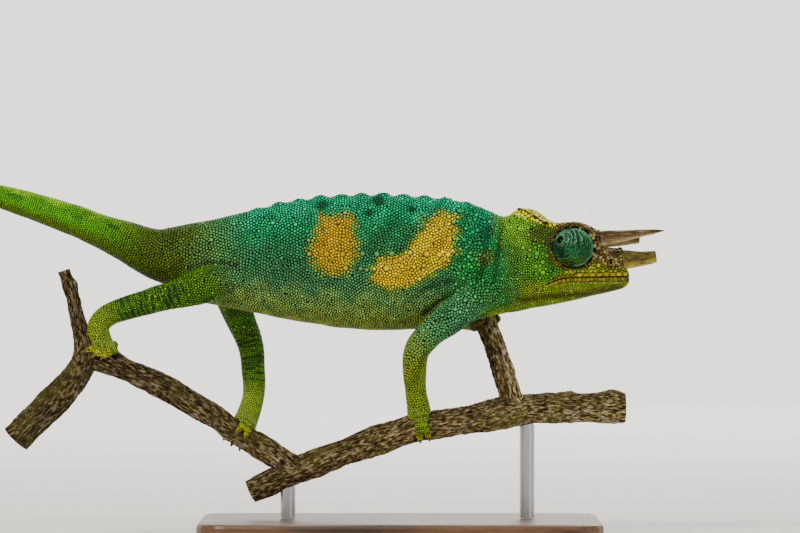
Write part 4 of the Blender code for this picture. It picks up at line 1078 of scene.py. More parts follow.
def rowsOver(loft):
    # Seeds in staggered rows round a loft, evenly along each ring
    rings, fars, onBody = loft["rings"], loft["fars"], loft["kind"] == "body"
    seeds, far = [], fars[0] + 0.4
    while far < fars[-1]:
        spacing, pitch = 1.02, 0.87
        if not onBody:
            spacing, pitch = float(spacingAlong(loft["kind"], loft["name"].startswith("fore"), far)), 0.96
        place = np.interp(far, fars, np.arange(len(fars)))
        i, t = min(int(place), len(rings) - 2), place % 1
        ring = rings[i] * (1 - t) + rings[i + 1] * t
        loop = np.vstack([ring, ring[:1]])
        lengths = np.concatenate([[0], np.cumsum(np.linalg.norm(np.diff(loop, axis=0), axis=1))])
        count = max(3, round(lengths[-1] / spacing))
        stops = (np.arange(count) + 0.5 * (len(seeds) % 2)) / count * lengths[-1]
        seeds.append(np.column_stack([np.interp(stops, lengths, column) for column in loop.T]))
        far += spacing * pitch
    seeds = np.concatenate(seeds)
    if onBody:
        seeds[:, 0] += 1.2 * wavy(seeds, 10.0, 71) + 0.3 * wavy(seeds, 3.0, 72)
        seeds[:, 2] += 0.9 * wavy(seeds, 9.0, 73)
        return seeds
    return seeds + 0.22 * np.column_stack([wavy(seeds, 2.6, 74 + n) for n in range(3)])


def snap(points):
    # The nearest places of the skin, its normals there, and how far each point moved
    spots, normals, _faces, moved = zip(*(skinTree.find_nearest(Vector(p)) for p in points))
    return np.array(spots), np.array(normals), np.array(moved)


def layFeatures():
    # Large scales with a place of their own: tubercles, the plates of the lips, and the casque's edge
    rows = [(x, z, width, boss, 1.0, colour) for x, z, width, colour in tubercles]
    for start, pitch, count, lift, width, aspect, colours in lipRows:
        for i in range(count):
            x = start + pitch * i
            rows.append((x, mouthHeight(x) + lift, width, plate, aspect, colours[i % len(colours)]))
    crest = route([(x, 0, z, 0) for x, z, _ in head["crest"]])
    count = coat["crestBeads"]
    for i in range(count):
        x, _y, z, _r = between(crest, crest[-1][0] * (i + 0.5) / count)
        colour = "#989400" if x < 51.5 else ("#6a5430", "#9c8450")[i % 2]
        rows.append((x, z + 0.3, coat["crestBead"], bead, 1.0, colour))
    rows = [(side, *row) for row in rows for side in (right, left)]
    points = np.array([(x, side * (float(bodySide(x, z)) + 0.4), z) for side, x, z, *_ in rows])
    sizes, shapes, aspects, colours = (np.array(column) for column in list(zip(*rows))[3:])
    return {"points": points, "sizes": sizes, "shape": shapes, "aspect": aspects,
            "own": np.array([toLinear(str(colour)) for colour in colours])}


def throwDarts(count, spacingOfFace, areas, corners):
    weights = areas / spacingOfFace**2
    chosen = rng.choice(len(areas), count, p=weights / weights.sum())
    u, v = rng.random(count), rng.random(count)
    flip = u + v > 1
    u[flip], v[flip] = 1 - u[flip], 1 - v[flip]
    a, b, c = corners[chosen].swapaxes(0, 1)
    return a + (b - a) * u[:, None] + (c - a) * v[:, None]


def thin(points, sizes):
    # Keeps each seed only if no earlier one is too near; the first ones come first
    cell, closest, grid, chosen = 1.9, coat["closest"], {}, []
    around = list(product((-1, 0, 1), repeat=3))
    for i, ((x, y, z), width) in enumerate(zip(points.tolist(), sizes.tolist())):
        cx, cy, cz = int(x // cell), int(y // cell), int(z // cell)
        near = (seed for a, b, c in around for seed in grid.get((cx + a, cy + b, cz + c), ()))
        if all((px - x) ** 2 + (py - y) ** 2 + (pz - z) ** 2 >= ((width + other) * 0.5 * closest) ** 2
               for px, py, pz, other in near):
            chosen.append(i)
            grid.setdefault((cx, cy, cz), []).append((x, y, z, width))
    return np.array(chosen)


def treeOf(points):
    tree = KDTree(len(points))
    for i, point in enumerate(points):
        tree.insert(point, i)
    tree.balance()
    return tree


def neighbours(points, count=7):
    tree = treeOf(points)
    return np.array([[hit[1] for hit in tree.find_n(point, count)][1:] for point in points])


def settle(points, sizes, loose):
    # Seeds push each other apart until each has the room that its size asks for
    for _ in range(coat["settle"]):
        near = neighbours(points)
        off = points[:, None] - points[near]
        gap = np.linalg.norm(off, axis=2).clip(1e-6)
        want = (sizes[:, None] + sizes[near]) * 0.5 * 0.98
        push = np.clip(want - gap, -0.12 * want, 0.5 * want)
        push = np.where(push < 0, push * 0.25, push * 0.42)
        step = np.sum(off / gap[:, :, None] * push[:, :, None], axis=1) * loose[:, None]
        step *= np.minimum(1, 0.25 * sizes / np.linalg.norm(step, axis=1).clip(1e-9))[:, None]
        points, normals, _moved = snap(points + step)
    return points, normals


def fillHoles(points, spacingOfFace, areas, corners):
    # More seeds where none is near enough, fitted to the room
    tree = treeOf(points)
    darts = snap(throwDarts(coat["darts"], spacingOfFace, areas, corners))[0]
    sizes = spacingAt(describe(darts))
    gap = np.array([tree.find(dart)[2] for dart in darts])
    free = gap > coat["hole"] * sizes
    darts, sizes = darts[free], sizes[free]
    order = np.argsort(-gap[free])
    chosen = order[thin(darts[order], sizes[order])]
    return darts[chosen], sizes[chosen]


def pick(arrays, chosen):
    return {key: values[chosen] for key, values in arrays.items()}


def seedScales():
    # Large scales first, then rows over each form and darts thrown between them; then the holes are filled
    corners = skinPoints[np.array([face[:3] for face in skinFaces])]
    areas = np.linalg.norm(np.cross(corners[:, 1] - corners[:, 0], corners[:, 2] - corners[:, 0]), axis=1) / 2
    spacingOfFace = spacingAt(skinPlace)[np.array([face[0] for face in skinFaces])]
    features = layFeatures()
    rows = [rowsOver(loft) for loft in lofts if loft["name"] == "body" or loft["kind"] != "body"]
    rows = np.concatenate(rows)
    rows += rng.normal(scale=0.04, size=rows.shape)
    darts = throwDarts(coat["darts"], spacingOfFace, areas, corners)
    points, _normals, moved = snap(np.concatenate([features["points"], rows, darts]))
    first = len(features["points"])
    moved[:first] = 0
    laid = (np.arange(len(points)) < first + len(rows))[moved < 0.9]
    points = points[moved < 0.9]
    place = describe(points)
    count, x, z, kind, along = len(points), points[:, 0], points[:, 2], place["kind"], place["along"]
    onBody, onLimb = kind == "body", kind == "limb"
    high = np.clip((z - bodyAt(x)[1]) / 42, 0, 1)
    chance = np.where(x < 34, 0.0006 + 0.004 * high + 0.06 * (x > 16), 0.01)
    chance = np.where((x > 42) & (x < 50) & (z > 86) & (z < 99), 0.05, chance)
    chance = np.where(onBody, chance, np.where(onLimb & (along < 30), 0.02, 0.0))
    big = rng.random(count) < chance
    even = 1 + np.where(onBody, np.where(x > 26, 0.26, 0.15), 0.06) * rng.uniform(-1, 0.75, count)
    sizes = spacingAt(place) * np.where(big, rng.uniform(1.25, 1.6, count), even)
    tiled = (kind == "tail") | (onLimb & (along > 22)) | (onBody & (high < 0.3) & (x < 34))
    shape = np.where(big, bead, np.where(tiled, tile, granule))
    rough = (x + 0.35 * (z - 92) > 63) & (z > 89.6)
    shape = np.where(rough & (rng.random(count) < 0.75), cup, shape)
    shape = np.where(onBody & (x > 36.5) & (x < 52) & (z > crownHeight(x)), plate, shape)
    rowed = laid & ~onBody & (~onLimb | (along > 20))
    seeds = {"points": points, "sizes": sizes, "shape": shape, "aspect": np.ones(count),
             "own": np.full((count, 3), np.nan), "rowed": rowed}
    for key in ("sizes", "shape", "aspect", "own"):
        seeds[key][:first] = features[key]
    sizes[:first] *= np.where(features["aspect"] < 1, 1.0, 1.12)
    order = np.argsort((np.arange(count) >= first) * (2 - big), kind="stable")
    seeds = pick(seeds, order[thin(points[order], sizes[order])])
    print("scales seeded:", len(seeds["points"]))
    loose = np.where(np.isnan(seeds["own"][:, 0]), np.where(seeds.pop("rowed"), 0.12, 1.0), 0.05)
    seeds["points"], _normals = settle(seeds["points"], seeds["sizes"], loose)
    points, sizes = fillHoles(seeds["points"], spacingOfFace, areas, corners)
    count = len(points)
    print("holes filled:", count)
    added = {"points": points, "sizes": sizes * 0.86, "shape": np.zeros(count, int), "aspect": np.ones(count),
             "own": np.full((count, 3), np.nan)}
    seeds = {key: np.concatenate([seeds[key], added[key]]) for key in seeds}
    loose = np.concatenate([loose, np.ones(count)])
    seeds["points"], seeds["normals"] = settle(seeds["points"], seeds["sizes"], loose)
    return seeds


def hiddenInBranch(points):
    hidden = np.zeros(len(points), bool)
    for knots in perch.values():
        table = route(knots)
        line = np.array([between(table, far) for far in np.arange(0, table[-1][0], 1.0)])
        gap = np.linalg.norm(points[:, None] - line[None, :, :3], axis=2)
        hidden |= gap.min(axis=1) < line[gap.argmin(axis=1), 3] - 0.1
    return hidden


def inOpening(points):
    # In an eye's socket or a nostril
    x, y, z = points.T
    off = (np.column_stack([x, np.abs(y), z]) - eye["centre"]) / (np.array(eye["size"]) + 0.15)
    hx, hz, wide = head["nostril"]
    return (np.linalg.norm(off, axis=1) < 1) | (np.hypot(x - hx, z - hz) < wide * 1.15)


def turnsOf(normals, lie):
    # Euler angles that set a scale upright on the skin with its length along the lie
    forward = unit(lie - normals * np.sum(lie * normals, axis=1)[:, None])
    around = np.arctan2(np.cross(normals, forward)[:, 2], normals[:, 2])
    tilt = -np.arcsin(np.clip(forward[:, 2], -1, 1))
    return np.column_stack([around, tilt, np.arctan2(forward[:, 1], forward[:, 0])])


def scaleTemplate(name, count, square, rings, middle):
    points, rise = [], []
    for reach, height, share in rings:
        for corner in circle(count, 0.5):
            c, s = (math.copysign(abs(v) ** (2 / square), v) for v in corner)
            points.append((reach * c, reach * s, height))
            rise.append(share)
    faces = ringFaces(len(rings), count)[:-1] + fan(len(points) - count, count)
    points.append((0, 0, middle[0]))
    mesh = bpy.data.meshes.new(name)
    mesh.from_pydata(points, [], faces)
    setAttribute(mesh, "rise", [*rise, middle[1]])
    setAttribute(mesh, "local", points)
    faceOut(mesh)
    return bpy.data.objects.new(name, mesh)


scaleSet = bpy.data.collections.new("scale_shapes")
for name, spec in scaleShapes.items():
    scaleSet.objects.link(scaleTemplate(name, *spec))


def growTree():
    # Seeds in, one joined mesh of scales out, with each scale's patch of the unwrap
    tree = bpy.data.node_groups.new("grow_scales", "GeometryNodeTree")
    for name, kind in (("Seeds", "Geometry"), ("Shapes", "Collection"), ("Finish", "Material"),
                       ("Swell", "Float"), ("Patch", "Float"), ("Jitter", "Float"), ("Seed", "Int")):
        tree.interface.new_socket(name=name, in_out="INPUT", socket_type="NodeSocket" + kind)
    tree.interface.new_socket(name="Scales", in_out="OUTPUT", socket_type="NodeSocketGeometry")
    given = addNode(tree, "NodeGroupInput").outputs
    turn, spread, local, root, shape = (
        addNode(tree, "GeometryNodeInputNamedAttribute", {"Name": name}, data_type=kind)
        for name, kind in (("turn", "FLOAT_VECTOR"), ("spread", "FLOAT_VECTOR"), ("local", "FLOAT_VECTOR"),
                           ("root", "FLOAT_VECTOR"), ("shape", "INT"))
    )
    shapes = addNode(tree, "GeometryNodeCollectionInfo", {
        "Collection": given["Shapes"], "Separate Children": True, "Reset Children": True
    })
    low, high = (addNode(tree, "Math", (1.0, given["Jitter"]), operation=way) for way in ("SUBTRACT", "ADD"))
    vary = addNode(tree, "FunctionNodeRandomValue", {2: low, 3: high, "Seed": given["Seed"]})
    swell = addNode(tree, "Math", (vary, given["Swell"]), operation="MULTIPLY")
    grown = addNode(tree, "GeometryNodeInstanceOnPoints", {
        "Points": given["Seeds"], "Instance": shapes, "Pick Instance": True, "Instance Index": shape,
        "Rotation": addNode(tree, "FunctionNodeEulerToRotation", (turn,)),
        "Scale": addNode(tree, "VectorMath", {0: spread, "Scale": swell}, operation="SCALE"),
    })
    patch = addNode(tree, "VectorMath", {0: local, "Scale": given["Patch"]}, operation="SCALE")
    mapped = addNode(tree, "GeometryNodeStoreNamedAttribute", {
        "Geometry": addNode(tree, "GeometryNodeRealizeInstances", (grown,)), "Name": "OFBake",
        "Value": addNode(tree, "VectorMath", (root, patch), operation="ADD"),
    }, data_type="FLOAT2", domain="CORNER")
    dressed = addNode(tree, "GeometryNodeSetMaterial", {"Geometry": mapped, "Material": given["Finish"]})
    addNode(tree, "NodeGroupOutput", (dressed,))
    return tree


growScales = growTree()


def growPiece(name, seeds, finish, slotName):
    mesh = meshOf(name + "_seeds", seeds["points"], [])
    for key in ("turn", "spread", "root", "shape"):
        setAttribute(mesh, key, seeds[key] * (mm if key == "spread" else 1))
    setTint(mesh, seeds["tint"])
    holder = addObject(name + "_seeds", mesh)
    grow = holder.modifiers.new("grow", "NODES")
    grow.node_group = growScales
    given = {"Shapes": scaleSet, "Finish": finish, "Swell": 1.0, "Patch": coat["patch"],
             "Jitter": coat["jitter"], "Seed": 5}
    for socket in growScales.interface.items_tree:
        if socket.name in given:
            grow[socket.identifier] = given[socket.name]
    grown = evaluated(holder, True)
    bpy.data.objects.remove(holder)
    for spare in {"turn", "spread", "root", "shape", "local"} & set(grown.attributes.keys()):
        grown.attributes.remove(grown.attributes[spare])
    grown.name = name
    print(len(seeds["points"]), "scales in", name)
    newPiece(name, grown, finish, slotName)


def unwrapRoots(place, strips):
    # Roots on an unwrap of the skin: along each form one way and round it the other, one strip a form
    roots = np.zeros((len(strips), 3))
    names = sorted(set(strips))
    for n, strip in enumerate(names):
        mine = strips == strip
        for axis, key in enumerate(("along", "round")):
            values = place[key][mine]
            share = (values - values.min()) / max(values.max() - values.min(), 1e-6)
            if axis:
                share = (n + 0.02 + 0.96 * share) / len(names)
            roots[mine, axis] = 0.01 + 0.98 * share
    return roots


def makeCoat():
    seeds = seedScales()
    points = seeds["points"]
    closed = (points[:, 0] > 48.3) & (np.abs(points[:, 2] - mouthHeight(points[:, 0])) < 0.34)
    hidden = hiddenInBranch(points) | inOpening(points) | (closed & np.isnan(seeds["own"][:, 0]))
    points, sizes, shape, aspect, own, normals = pick(seeds, ~hidden).values()
    near, count = neighbours(points), len(points)
    gap = np.linalg.norm(points[:, None] - points[near], axis=2)
    room = np.sort(gap * (sizes[:, None] / (sizes[:, None] + sizes[near])), axis=1)
    marked, bossed = ~np.isnan(own[:, 0]), shape == boss
    radius = np.clip(room[:, :4].mean(axis=1) * 1.04, 0.42 * sizes, 0.60 * sizes)
    radius = np.where(marked, sizes * np.where(bossed, 0.48, 0.51), radius)
    place = describe(points)
    tints = paint(place)
    share = np.where(bossed, 0.55, 1.0)[:, None]
    tints = np.where(marked[:, None], blend(tints, own, share) * np.where(bossed, 0.94, 1.0)[:, None], tints)
    wobble = rng.normal(scale=0.13, size=count) - np.clip(sizes / spacingAt(place) - 1.15, 0, 0.45) * 0.35
    paler = smoothStep(rng.random(count), 0.2, 0.5)[:, None]
    cupTints = blend(toLinear(marks["cupDark"]), toLinear(marks["cupLight"]), paler)
    tints = np.where(((shape == cup) & ~marked)[:, None], blend(tints, cupTints, 0.75), tints)
    tints = tints * np.exp(wobble)[:, None] * np.exp(rng.normal(scale=0.06, size=(count, 3)))
    flat = np.choose(shape, coat["heights"])
    spread = np.column_stack([radius * np.where(shape == tile, 0.92, 1.0), radius * aspect,
                              np.minimum(radius * flat, 0.60)])
    names, kind, x = place["name"], place["kind"], points[:, 0]
    label = np.where(place["along"] < 60, "tail_front", "tail_end")
    for limb in limbs:
        label = np.where(np.char.startswith(names, limb), "limb_" + limb, label)
    bodyLabels = np.where(x > 44, "face", np.where(x > 26, "neck", np.where(x > -14, "chest", "flank")))
    sides = np.where(points[:, 1] < 0, "_right", "_left")
    label = np.where(kind == "body", np.char.add(bodyLabels, sides), label)
    strips = np.where(kind == "body", "body", names)
    seeds = {"points": points, "turn": turnsOf(normals, place["lie"]), "spread": spread, "tint": tints,
             "shape": shape}
    for title in sorted(set(label)):
        mine = label == title
        part = pick(seeds, mine) | {"root": unwrapRoots(pick(place, mine), strips[mine])}
        growPiece("scales_" + title, part, skinFinish, "scaly_skin")


makeCoat()


# Eyes: a turret of fused lids with fine scales in arcs round its small opening, and the eyeball in it

turretMarks = {
    "pale": "#6fb48c", "base": "#217443", "light": "#5cb080", "dark": "#072d17", "lime": "#55800c",
    "ring": "#54986f", "opening": 1.15, "ringRadius": 1.62, "pitch": 0.48, "arc": 1.2,
}


def turretFrame(side):
    facing = upward.rotation_difference(Vector(eye["gaze"][side]).normalized()).to_matrix().to_4x4()
    cx, cy, cz = eye["centre"]
    return Matrix.Translation(Vector((cx, side * cy, cz))) @ Matrix.Diagonal((*eye["size"], 1)) @ facing


def turretPaint(points, theta):
    # Theta is the angle from the opening's middle; the blotches lie in arcs round it
    (cx, _cy, cz), (wide, _deep, tall) = eye["centre"], eye["size"]
    x, z, shades = points[:, 0], points[:, 2] - cz, turretMarks
    bent = theta * wide + 0.8 * wavy(points, 4.5, 34) + 0.25 * wavy(points, 1.7, 35)
    dark = smoothStep(np.sin(fullTurn * bent / shades["arc"]) + 0.9 * wavy(points, 3.5, 33), 0.0, 0.8)
    reach = np.hypot((x - cx) / wide, z / tall)
    crescent = smoothStep(reach, 0.86, 0.91) * fade(reach, 0.94, 0.98) * (x > cx)
    edge, inner = (math.asin(shades[key] / wide) for key in ("ringRadius", "opening"))
    return lay(
        np.tile(toLinear(shades["base"]), (len(points), 1)),
        (smoothStep(z + 1.2 * wavy(points, 4, 31), 0.5, 4.5) * 0.7, shades["light"]),
        (smoothStep(-z, 1.5, 5.0) * 0.75, shades["lime"]),
        # The pale oval at the upper left is a painted highlight; the dark arcs are the lids' own pattern
        (oval(points, cx - 2.6, cz + 3.2, 4.0, 2.4) * 0.75, shades["pale"]), (dark * 0.93, shades["dark"]),
        (crescent * 0.6, shades["pale"]), (fade(theta, edge, edge + 0.08), shades["ring"]),
        # Painted shade: the lids' edge inside the opening is darkened
        (fade(theta, inner + 0.01, inner + 0.04), shades["dark"]),
    )


def makeTurret(side):
    name, matrix, wide, count = sideNames[side], turretFrame(side), eye["size"][0], 72
    hole, edge = turretMarks["opening"] / wide, turretMarks["ringRadius"] / wide
    profile = [(hole * 0.96, 1 - 1.7 / wide), (hole, 1 - 0.6 / wide), (hole, 1 + 0.25 / wide)]
    for i in range(1, 6):  # the raised ring of the lids' edge
        turn = math.pi * i / 6
        radius = (hole + edge) / 2 - (edge - hole) / 2 * math.cos(turn)
        profile.append((radius, 1 + 0.12 / wide + 0.42 / wide * math.sin(turn)))
    start = math.asin(edge) * 1.04
    for i in range(40):
        turn = start + (math.pi - start) * i / 40
        profile.append((math.sin(turn) * (1 - 0.25 / wide), math.cos(turn) * (1 - 0.25 / wide)))
    points = [matrix @ Vector((radius * c, radius * s, height))
              for radius, height in profile for c, s in circle(count)]
    faces = ringFaces(len(profile), count, capped=False) + fan(len(points) - count, count)
    faces.append(tuple(range(count)))
    points.append(matrix @ Vector((0, 0, 0.25 / wide - 1)))
    points = np.array(points)
    mesh = meshOf("turret_" + name, points, faces)
    faceOut(mesh)
    mesh.shade_smooth()
    inverse = matrix.inverted()
    x, y, z = np.array([inverse @ Vector(p) for p in points]).T
    theta = np.arctan2(np.hypot(x, y), z)
    setTint(mesh, turretPaint(points, theta))
    # Painted shade: the lids between the scales are painted dark by a low rise, the raised ring less so
    setAttribute(mesh, "rise", np.where(theta < math.asin(edge) * 1.02, 0.75, 0.1))
    newPiece("turret_" + name, mesh, lidFinish, "eyelid_skin", "eye_turret_" + name)
    growTurretScales(side, matrix, edge)
    makeEyeball(side, matrix)


def growTurretScales(side, matrix, edge):
    # Small scales in rings round the opening
    size, pitch = eye["size"], turretMarks["pitch"]
    angle, spots, odd = math.asin(edge) + 0.55 * pitch / size[0], [], 0
    while angle < math.pi * 0.72:
        count = max(6, round(fullTurn * math.sin(angle) * size[0] / pitch))
        for k in range(count):
            spin = fullTurn * (k + 0.5 * (odd % 2)) / count
            wide, high = math.sin(angle), math.cos(angle)
            place = Vector((wide * math.cos(spin), wide * math.sin(spin), high)) * (1 - 0.25 / size[0])
            spots.append((*(matrix @ place), angle, spin))
        angle += pitch * 0.9 / size[0]
        odd += 1
    spots = np.array([spot for spot in spots if spot[1] * side > 6.2])
    points, angles, spins = spots[:, :3], spots[:, 3], spots[:, 4]
    points = points + rng.normal(scale=0.02, size=points.shape)
    normals = unit((points - np.array(eye["centre"]) * (1, side, 1)) / np.array(size) ** 2)
    radius = pitch * 0.54 * np.exp(rng.normal(scale=0.06, size=len(points)))
    tints = turretPaint(points, angles) * np.exp(rng.normal(scale=0.42, size=len(points)))[:, None]
    lie = np.cross(normals, np.array(Vector(eye["gaze"][side]).normalized()))
    growPiece("scales_turret_" + sideNames[side], {
        "points": points, "turn": turnsOf(normals, lie),
        "spread": radius[:, None] * (1, 0.92, 0.62), "tint": tints, "shape": np.full(len(points), granule),
        "root": np.column_stack([0.01 + 0.98 * spins / fullTurn % 1.0, angles / math.pi, 0 * spins]),
    }, lidFinish, "eyelid_skin")


def wetEye():
    # Living cornea over a dark pupil and a thin gold iris: a clear wet gloss
    material, tree, shader = startMaterial("wet_cornea")
    iris = addNode(tree, "Attribute", attribute_name="iris").outputs["Fac"]
    rings = addNode(tree, "ValToRGB", (iris,), ((0.88, "#030405"), (0.92, "#6a5020"), (0.97, "#1c140a")))
    feed(tree, shader, {
        "Base Color": rings, "Roughness": 0.06, "IOR": 1.38, "Specular IOR Level": 0.35, "Coat Weight": 0.2,
        "Coat Roughness": 0.03,
    })
    return material


def makeEyeball(side, matrix):
    # The ball fills the opening from behind; the share of its front is kept for the iris's colours
    centre = matrix @ Vector((0, 0, 1 - 0.8 / eye["size"][0]))
    turn = upward.rotation_difference(Vector(eye["gaze"][side]).normalized()).to_matrix()
    radius = turretMarks["opening"] * 0.96
    mesh = bpy.data.meshes.new("eye_" + sideNames[side])
    with reshaping(mesh) as shape:
        bmesh.ops.create_uvsphere(shape, u_segments=40, v_segments=24, radius=radius)
        front = [math.hypot(v.co.x, v.co.y) / radius if v.co.z > 0 else 1.0 for v in shape.verts]
        shape.transform(Matrix.Scale(mm, 4) @ Matrix.Translation(centre) @ turn.to_4x4())
    mesh.shade_smooth()
    setAttribute(mesh, "iris", front)
    newPiece(mesh.name, mesh, eyeFinish, "wet_eye", "eyeball_" + sideNames[side])


lidFinish = scalySkin("keratin_eyelid_scales", 0.38)
eyeFinish = wetEye()
makeTurret(right)
makeTurret(left)
print("eyes made")


# Horns: ringed keratin sheaths, weathered and split; the snout's and the far brow's are broken off blunt

horns = {  # knots, whether it is broken off, and a number that varies its wear
    "horn_snout": ((
        (69.0, 0, 92.6, 3.42), (74.3, 0, 92.6, 3.2), (79.0, 0, 92.8, 2.6), (84.3, 0, 93.5, 2.05),
    ), True, 3),
    "horn_brow_right": ((
        (62.5, -4.3, 98.8, 2.75), (67.3, -4.7, 99.7, 2.5), (73.6, -5.0, 100.4, 1.9),
        (79.2, -5.3, 101.2, 1.3), (84.0, -5.6, 101.8, 0.75), (86.7, -5.8, 102.1, 0.22),
    ), False, 5),
    "horn_brow_left": ((
        (62.5, 4.3, 98.4, 2.75), (67.3, 4.7, 98.9, 2.5), (73.6, 5.1, 99.1, 2.0), (79.0, 5.5, 99.4, 1.5),
    ), True, 8),
}
hornSizes = {"step": 0.22, "round": 48, "ringPitch": 1.7, "ring": 0.022, "flute": 0.035, "inset": 0.03}


def hornKeratin(name, dark, mid, light, crown):
    # Horn keratin, grown in rings and weathered: dark streaks along its fibres, a painted highlight in cream
    # along the top, and painted shade in the furrows
    material, tree, shader = startMaterial(name)
    coords = addNode(tree, "TexCoord").outputs["Object"]
    upper = addNode(tree, "Attribute", attribute_name="upper").outputs["Fac"]
    sunken = addNode(tree, "Attribute", attribute_name="sunken").outputs["Fac"]
    grain = addNode(tree, "TexNoise", {
        "Vector": addNode(tree, "Mapping", {"Vector": coords, "Scale": (0.12, 1.0, 1.0)}),
        "Scale": 1 / (0.5 * mm), "Detail": 6.0, "Roughness": 0.6,
    })
    cloud = addNode(tree, "TexNoise", {"Vector": coords, "Scale": 1 / (5.0 * mm), "Detail": 3.0})
    fibres = addNode(tree, "ValToRGB", (grain,), ((0.32, dark), (0.68, light), (0.49, mid)))
    tone = addNode(tree, "MapRange", (cloud, 0.35, 0.65, 0.75, 1.2))
    toned = addNode(tree, "VectorMath", {0: fibres, "Scale": tone}, operation="SCALE")
    # Painted highlight: cream along the top
    cream = addNode(tree, "MapRange", (upper, 0.15, 0.95, 0.0, 0.85))
    topped = addNode(tree, "Mix", {0: cream, 6: toned, 7: crown}, data_type="RGBA")
    feed(tree, shader, {
        # Painted shade in the sunken furrows and in the blunt end's hollow
        "Base Color": addNode(tree, "Mix", {0: sunken, 6: topped, 7: "#1e150a"}, data_type="RGBA"),
        "Normal": addNode(tree, "Bump", {"Height": grain, "Strength": 0.5, "Distance": 0.12 * mm}),
        "Roughness": 0.55, "IOR": 1.55, "Specular IOR Level": 0.18,
    })
    return material


def makeHorn(name, knots, blunt, seed):
    table, sizes, rings, sunken = route(knots), hornSizes, [], []
    fars = evenly(table, sizes["step"], 1)
    if not blunt:
        fars.append(table[-1][0] + 0.12)
    turns = circle(sizes["round"])
    for far, (row, ahead, side, rise) in zip(fars, frameAlong(table, fars, across)):
        centre, radius = Vector(row[:3]), row[3] - sizes["inset"]
        if far > table[-1][0]:
            radius, centre = 0.05, centre + ahead * 0.1
        ring, low = [], []
        for c, s in turns:
            furrow = abs(noise.noise(Vector((far * 0.18, c * 1.6, s * 1.6 + seed * 9)) * 1.9))
            deep = max(0.0, 0.16 - furrow) / 0.16
            wear = noise.noise(Vector((far * 0.8, c * 2, s * 2 + seed)))
            swell = 1 + sizes["ring"] * math.cos(fullTurn * far / sizes["ringPitch"]) * 0.6
            swell += sizes["flute"] * (0.5 * wear - deep)
            ring.append(centre + (rise * c + side * s) * radius * swell)
            # Painted shade in the deep furrows
            low.append(min(1.0, deep * 0.85))
        rings.append(ring)
        sunken += low
    if blunt:
        sunken += closeBlunt(rings, seed)
    mesh = meshOf(name + "_sheath", np.array(rings).reshape(-1, 3), ringFaces(len(rings), len(turns)))
    faceOut(mesh)
    mesh.shade_smooth()
    setAttribute(mesh, "sunken", sunken)
    setAttribute(mesh, "upper", np.tile(np.array(turns)[:, 0], len(rings)))
    newPiece(mesh.name, mesh, snoutHorn if name == "horn_snout" else browHorn, "horn", name)


def closeBlunt(rings, seed):
    # A worn, slightly hollow end with a rough rim
    last, sunken = rings[-1], []
    centre = sum(last, Vector()) / len(last)
    ahead = (centre - sum(rings[-4], Vector()) / len(last)).normalized()
    for share, beyond in ((0.96, 0.16), (0.86, 0.26), (0.66, 0.14), (0.42, 0.02), (0.16, 0.0)):
        rings.append([])
        for k, spot in enumerate(last):
            rough = 0.16 * noise.noise(Vector((k * 0.55, share * 6, seed)))
            rings[-1].append(centre + (spot - centre) * share + ahead * (beyond + rough))
        # Painted shade, deeper towards the middle of the hollow
        sunken += [0.15 + 0.5 * (1 - share)] * len(last)
    return sunken


browHorn = hornKeratin("weathered_brow_horn_keratin", "#160e06", "#523e20", "#8e764c", "#ccb67e")
snoutHorn = hornKeratin("weathered_snout_horn_keratin", "#1e1604", "#5c4e14", "#94822e", "#d0b850")
for name, spec in horns.items():
    makeHorn(name, *spec)


# Claws: small hooks at the toes' tips

def clawKeratin():
    # Claw keratin, grown smooth: horn brown with a soft satin light
    material, tree, shader = startMaterial("claw_keratin")
    feed(tree, shader, {"Base Color": "#6b5a2a", "Roughness": 0.5, "IOR": 1.55, "Specular IOR Level": 0.2})
    return material


def makeClaws():
    length, radius = foot["claw"], foot["clawRadius"]
    for name, limb in limbs.items():
        points, faces = [], []
        for toe in limb["toeRoutes"]:
            ahead, inward = toe["ahead"] * length, toe["inward"] * length
            start = toe["root"] - toe["ahead"] * 0.2
            knots = [(*(start + ahead * share + inward * bend), radius * thick)
                     for share, bend, thick in foot["clawKnots"]]
            rings, _fars = tubeRings(knots, 0.16, 14, toe["along"])
            base = len(points)
            points += rings.reshape(-1, 3).tolist()
            faces += [tuple(base + v for v in face) for face in ringFaces(len(rings), 14)]
        mesh = meshOf("claws_" + name, points, faces)
        faceOut(mesh)
        mesh.shade_smooth()
        newPiece(mesh.name, mesh, clawFinish, "horn")


clawFinish = clawKeratin()
makeClaws()
print("horns and claws made")


# Perch: lengths of rough grey-brown branch with sawn ends

bark = {
    "step": 0.55, "round": 72, "wobble": 0.045, "ridge": 0.34, "cap": (0.985, 0.75, 0.5, 0.22),
    "knobs": {  # distance along, turn in degrees, width, height
        "perch_front": ((24, 40, 3.0, 0.9), (58, 200, 2.4, 0.7), (76, 120, 2.8, 0.9), (112, 190, 1.8, 0.9),
                        (126, 170, 3.6, 1.3), (97, 20, 2.6, 0.5)),
        "perch_rear": ((22, 60, 2.4, 0.7), (52, 20, 2.8, 0.8), (70, 100, 2.4, 0.8)),
        "perch_fork": ((24, 300, 3.0, 0.9), (37, 250, 2.8, 1.6), (52, 90, 1.8, 0.7), (60, 30, 1.6, 0.8)),
        "perch_front_twig": ((14, 60, 2.2, 0.5), (26, 250, 2.4, 0.6)),
    },
    "cuts": {"perch_front": (1, 1), "perch_rear": (0, 0), "perch_fork": (1, 1), "perch_front_twig": (0, 1)},
}


